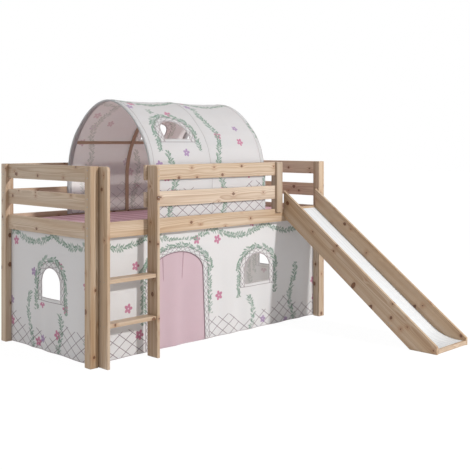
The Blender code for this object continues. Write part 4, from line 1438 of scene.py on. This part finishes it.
def tunnel(finishes, stitching):
    low, high = box_of("tunnel_cover_left")[0], box_of("tunnel_cover_right")[1]
    middle = (low.y + high.y) / 2
    points, travel = tunnel_line(ARCH_SPRINGING - low.z)
    profile = Profile(points, travel)
    hoops = [box_of(f"hoop_{i}")[0].x - low.x for i in (1, 2, 3)]
    length = high.x - low.x

    def sag(u):
        """0 over the hoops and 1 half-way between two of them."""
        for first, second in zip(hoops, hoops[1:]):
            start, stop = first + HOOP_WIDTH, second
            if start < u < stop:
                return math.sin(math.pi * (u - start) / (stop - start))
        return 0.0

    def place(u, v):
        point = profile.at(v)
        behind = profile.at(v - 0.004)
        ahead = profile.at(v + 0.004)
        along = (ahead - behind).normalized()
        outward = Vector((-along.y, along.x))
        hang = sag(u) * (1 - by_purlin(point))
        steep = max(0.0, point.y / ARCH_RISE)
        top = max(0.0, steep * steep - 0.3) / 0.7
        inwards = CAD_CLOTH / 2 + TUNNEL_SAG * top * hang
        inwards += hang * (0.0016 + creases(u, v, 21.0, 0.0022))
        ripple = 0.0006 * math.sin(v * 70.0 + 3.0 * math.sin(u * 6.0))
        inwards += math.sqrt(hang) * ripple * (1 - hang)
        spot = point - outward * inwards
        return Vector((low.x + u, middle + spot.x, ARCH_SPRINGING + spot.y))

    def sleeve_depth(v):
        return SLEEVE_DEPTH + PURLIN_LIFT * by_purlin(profile.at(v))

    sill_front = profile.reach_of(PURLIN_RISE, -1) + PURLIN_HALF + HATCH_ABOVE_PURLIN
    springing = sill_front + HATCH["height"] - HATCH["rise"]
    shape = (HATCH["width"], springing, HATCH["rise"], sill_front - 0.090, sill_front)
    front = Arch(HATCH_FRONT, *shape)
    back = FlippedArch(HATCH_BACK, *shape)
    us = steps_between(0.0, length, CLOTH_STEP)
    vs = steps_between(travel[0], travel[-1], CLOTH_STEP)
    openings = [front, back]
    # The tunnel's ground is the cloth painted darker: painted shade.
    finish = cloth_finish("print_tunnel", tunnel_print(front, TUNNEL_WHITE_SHADED, 1.0))
    # The lining's ground is the cloth painted lighter: painted light inside the tunnel.
    lining = cloth_finish("lining_tunnel", tunnel_print(front, CLOTH_INSIDE_PAINTED_LIGHT, 0.45))
    cloth = sheet_of_cloth("tunnel_cloth", us, vs, place, openings, finish, lining)
    trims = []
    runs = []
    for number, opening in enumerate(openings):
        edge = opening.edge(0.0)
        trims.append(binding(f"tunnel_binding_{number}", edge, True, place, finishes["binding"]))
        runs.append((seam(edge, BINDING_WIDTH * 1.6, place, False), True))
    for number, side in enumerate(rim_of(us, vs, [])):
        trims.append(binding(f"tunnel_hem_{number}", side, False, place, finishes["binding"]))

    def over_the_arch(u):
        """A line on the cloth's outer face from the front leg over to the back one."""
        return [above(place, u, v, CLOTH / 2) for v in vs]

    seams = [HOOP_WIDTH + 0.006, hoops[1] + HOOP_WIDTH / 2, length - HOOP_WIDTH - 0.006]
    for number, u in enumerate(seams):
        name = f"tunnel_seam_{number}"
        trims.append(piping(name, over_the_arch(u), SEAM_RADIUS, finishes["binding"]))
    for number, (edge, inwards) in enumerate(((0.0, 1.0), (length, -1.0))):
        name = f"hoop_sleeve_{number}"
        facing = finishes["facing"]
        trims.append(hoop_sleeve(name, edge, inwards, vs, place, sleeve_depth, facing))
    for start in hoops:
        for u in (start - 0.004, start + HOOP_WIDTH + 0.004):
            if 0.003 < u < length - 0.003:
                runs.append((over_the_arch(u), False))
    flat = (length, travel[-1] - travel[0])
    nodes = ("tunnel_cover_left", "tunnel_cover_right")
    trim, stitches = dress("tunnel", cloth, trims, runs, stitching, nodes, "bed")


class FlippedArch(Arch):
    """An arch on the far side of the tunnel, where the way up runs backwards."""

    def off(self, u, v):
        return super().off(u, -v)

    def edge(self, foot, step=0.008):
        points = super().edge(foot, step)
        return [(u, -v, into_u, -into_v) for u, v, into_u, into_v in reversed(points)]


def tunnel_print(front, ground, strength):
    """A colour_of for the tunnel: each side's print runs up to the crown, with its own hatch in it."""

    def shade(tree, across, along):
        height = -along.join("ABSOLUTE")
        moved = across + along.over(0.0, 0.001) * (HATCH_FRONT - HATCH_BACK)
        layout = {
            "openings": [front],
            "climbers": {"pitch": 0.43, "start": 0.10, "sway": 0.026, "least": -0.26, "spread": 0.22},
            "swags": {"top": -0.055, "span": 0.505, "drop": 0.075},
            "trellis": -0.830,
        }
        return printed(layout, ground, strength)(tree, moved, height)

    return shade


# The pad


def mattress_pad(finish):
    """A thin striped pad: crowned, with drawn-in sides and a sewn channel at each pair of stripes."""
    low, high = box_of("mattress_pad")
    middle = (low + high) / 2
    half_x, half_y = (high.x - low.x) / 2, (high.y - low.y) / 2
    thick = high.z - low.z
    bm = bmesh.new()
    layer = bm.loops.layers.uv.new("flat")

    def outline(inset):
        """The pad's outline, drawn in by an inset, from its front right corner round."""
        points = []
        turn = max(PAD_CORNER - inset, 0.004)
        side_half_x, side_half_y = half_x - inset - turn, half_y - inset - turn
        for quarter, (side_x, side_y) in enumerate(((1, -1), (1, 1), (-1, 1), (-1, -1))):
            for step in range(9):
                angle = math.pi / 2 * (quarter - 1 + step / 8)
                x = side_x * side_half_x + turn * math.cos(angle)
                y = side_y * side_half_y + turn * math.sin(angle)
                points.append((x, y))
            count = 120 if quarter % 2 else 54
            for step in range(1, count):
                share = 1 - 2 * step / count
                draw = PAD_DRAWN_IN * (1 - share * share)
                if quarter % 2:
                    points.append((side_x * share * side_half_x, side_y * (half_y - inset - draw)))
                else:
                    points.append((side_x * (half_x - inset - draw), side_y * share * side_half_y))
        return points

    def height(x, y, inset):
        """The top's height over the pad's foot, with a shallow channel at each stripe."""
        channel = abs(((x + half_x) / STRIPE_EVERY + 0.5) % 1.0 - 0.5) * STRIPE_EVERY
        dip = CHANNEL_DEPTH * math.exp(-((channel / CHANNEL_HALF) ** 2)) * min(1.0, inset / 0.02)
        crown = PAD_CROWN * (1 - (x / half_x) ** 2) * (1 - (y / half_y) ** 2)
        lumps = 0.0012 * noise.noise(Vector((x * 9.0, y * 9.0, 3.0)))
        return thick - PAD_CROWN + min(crown, 0.0035) - dip + min(lumps, 0.0004)

    rings = []
    for inset, share in PAD_SIDE + tuple((inset, 1.0) for inset in PAD_TOP):
        ring = []
        for x, y in outline(inset):
            z = share * height(x, y, inset)
            ring.append(bm.verts.new((middle.x + x, middle.y + y, low.z + z)))
        rings.append(ring)
    for lower, upper in zip(rings, rings[1:]):
        count = len(lower)
        for i in range(count):
            j = (i + 1) % count
            bm.faces.new((lower[i], lower[j], upper[j], upper[i]))
    bm.faces.new(rings[0][::-1])
    bm.faces.new(rings[-1])
    bmesh.ops.triangulate(bm, faces=[face for face in bm.faces if len(face.verts) > 4])
    for face in bm.faces:
        for loop in face.loops:
            place = loop.vert.co - low
            loop[layer].uv = (place.x + place.z * 0.2, place.y + place.z)
    bmesh.ops.recalc_face_normals(bm, faces=bm.faces)
    pad = new_piece("mattress_pad_cover", bm, finish)
    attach(pad, "bed")
    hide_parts("mattress_pad")


# The stage, the lamps and the camera


def seen_directly(tree):
    """1 for what the camera, a gloss or a glass sees of a surface, and 0 for the light it gives."""
    path = tree.nodes.new("ShaderNodeLightPath")
    seen = Field(tree, path.outputs["Is Camera Ray"])
    for other in ("Is Glossy Ray", "Is Transmission Ray"):
        seen = seen.at_least(Field(tree, path.outputs[other]))
    return seen


def set_stage():
    """A pale floor that keeps the shadow, and a world that looks white and gives a plain light."""
    bm = bmesh.new()
    bmesh.ops.create_grid(bm, x_segments=1, y_segments=1, size=FLOOR_HALF)
    material, tree, shader = new_finish("floor")
    shader.inputs["Base Color"].default_value = (*FLOOR_GREY, 1.0)
    shader.inputs["Roughness"].default_value = 0.9
    glow = tree.nodes.new("ShaderNodeEmission")
    glow.inputs["Strength"].default_value = FLOOR_GLOW
    mix = tree.nodes.new("ShaderNodeMixShader")
    tree.links.new((seen_directly(tree) * FLOOR_GLOW_SHARE).socket, mix.inputs[0])
    tree.links.new(shader.outputs[0], mix.inputs[1])
    tree.links.new(glow.outputs[0], mix.inputs[2])
    tree.links.new(mix.outputs[0], tree.nodes["Material Output"].inputs["Surface"])
    new_piece("floor", bm, material)

    world = bpy.data.worlds.new("studio")
    bpy.context.scene.world = world
    world.use_nodes = True
    tree = world.node_tree
    ground = tree.nodes["Background"]
    ground.inputs["Color"].default_value = (1.0, 1.0, 1.0, 1.0)
    strength = seen_directly(tree) * (1.0 - WORLD_LIGHT) + WORLD_LIGHT
    tree.links.new(strength.socket, ground.inputs["Strength"])


def set_lamps():
    """A key lamp in front of the slide and a soft fill from the back left."""
    key = bpy.data.lights.new("key", "AREA")
    key.shape = "DISK"
    key.size = KEY_SIZE
    key.energy = KEY_POWER
    key.color = KEY_COLOUR
    place = on_bed(*KEY_PLACE)
    add_lamp(key, place, place - on_bed(*KEY_AIM))

    fill = bpy.data.lights.new("fill", "SUN")
    fill.energy = FILL_POWER
    fill.angle = math.radians(FILL_SOFTNESS)
    azimuth, elevation = math.radians(FILL_AZIMUTH), math.radians(FILL_ELEVATION)
    level = Vector((math.sin(azimuth), -math.cos(azimuth), 0.0))
    backwards = level * math.cos(elevation) + Vector((0.0, 0.0, math.sin(elevation)))
    add_lamp(fill, on_bed(0.0, 0.0, 3.0), backwards)


def add_lamp(light, place, backwards):
    """Puts a light at a place; backwards points from what it lights to the light."""
    lamp = bpy.data.objects.new(light.name, light)
    bpy.context.scene.collection.objects.link(lamp)
    lamp.location = place
    lamp.rotation_euler = backwards.to_track_quat("Z", "Y").to_euler()


def set_camera():
    """The camera at the photograph's place, level, with its shift for the picture's height."""
    data = bpy.data.cameras.new("camera")
    data.sensor_width = 36.0
    data.lens = CAMERA_SHARPNESS / PICTURE * data.sensor_width
    data.shift_y = (HORIZON_ROW - PICTURE / 2) / PICTURE
    camera = bpy.data.objects.new("camera", data)
    bpy.context.scene.collection.objects.link(camera)
    camera.location = on_bed(*CAMERA_PLACE)
    camera.rotation_euler = (math.radians(90.0), 0.0, math.radians(-CAMERA_AZIMUTH))
    bpy.context.scene.camera = camera


def main():
    set_camera()
    set_stage()
    set_lamps()
    finish_wood()
    lath = bent_wood()
    for node in ("hoop_1", "hoop_2", "hoop_3", "purlin_front", "purlin_back"):
        set_finish(NODES[node], lath)
    set_finish(NODES["slide_panel"], laminate())
    finishes = {
        "binding": cloth_finish("turned_edge", plain(BINDING_GREY)),
        # The doorway's tape is drawn dark: partly its own colour, partly painted shade for the gap
        # behind its edge.
        "door_edge": cloth_finish("door_edge", plain(DOOR_BINDING_AND_GAP_SHADE)),
        "facing": cloth_finish("tunnel_facing", plain(FACING_WHITE)),
        "pink": cloth_finish("pink_cloth_flap", pink_with_crease_shade),
    }
    stitching = stitch_tree(cloth_finish("thread", plain(THREAD_GREY)))
    pink_stitching = stitch_tree(cloth_finish("pink_thread", plain(THREAD_PINK)))
    curtain_front(finishes, stitching)
    for side in ("left", "right"):
        curtain_end(side, finishes, stitching)
    door_flap(finishes, pink_stitching)
    tunnel(finishes, stitching)
    mattress_pad(cloth_finish("striped_ticking", striped, 0.0))
    fastenings()

    scene = bpy.context.scene
    scene.view_settings.view_transform = "Standard"


main()
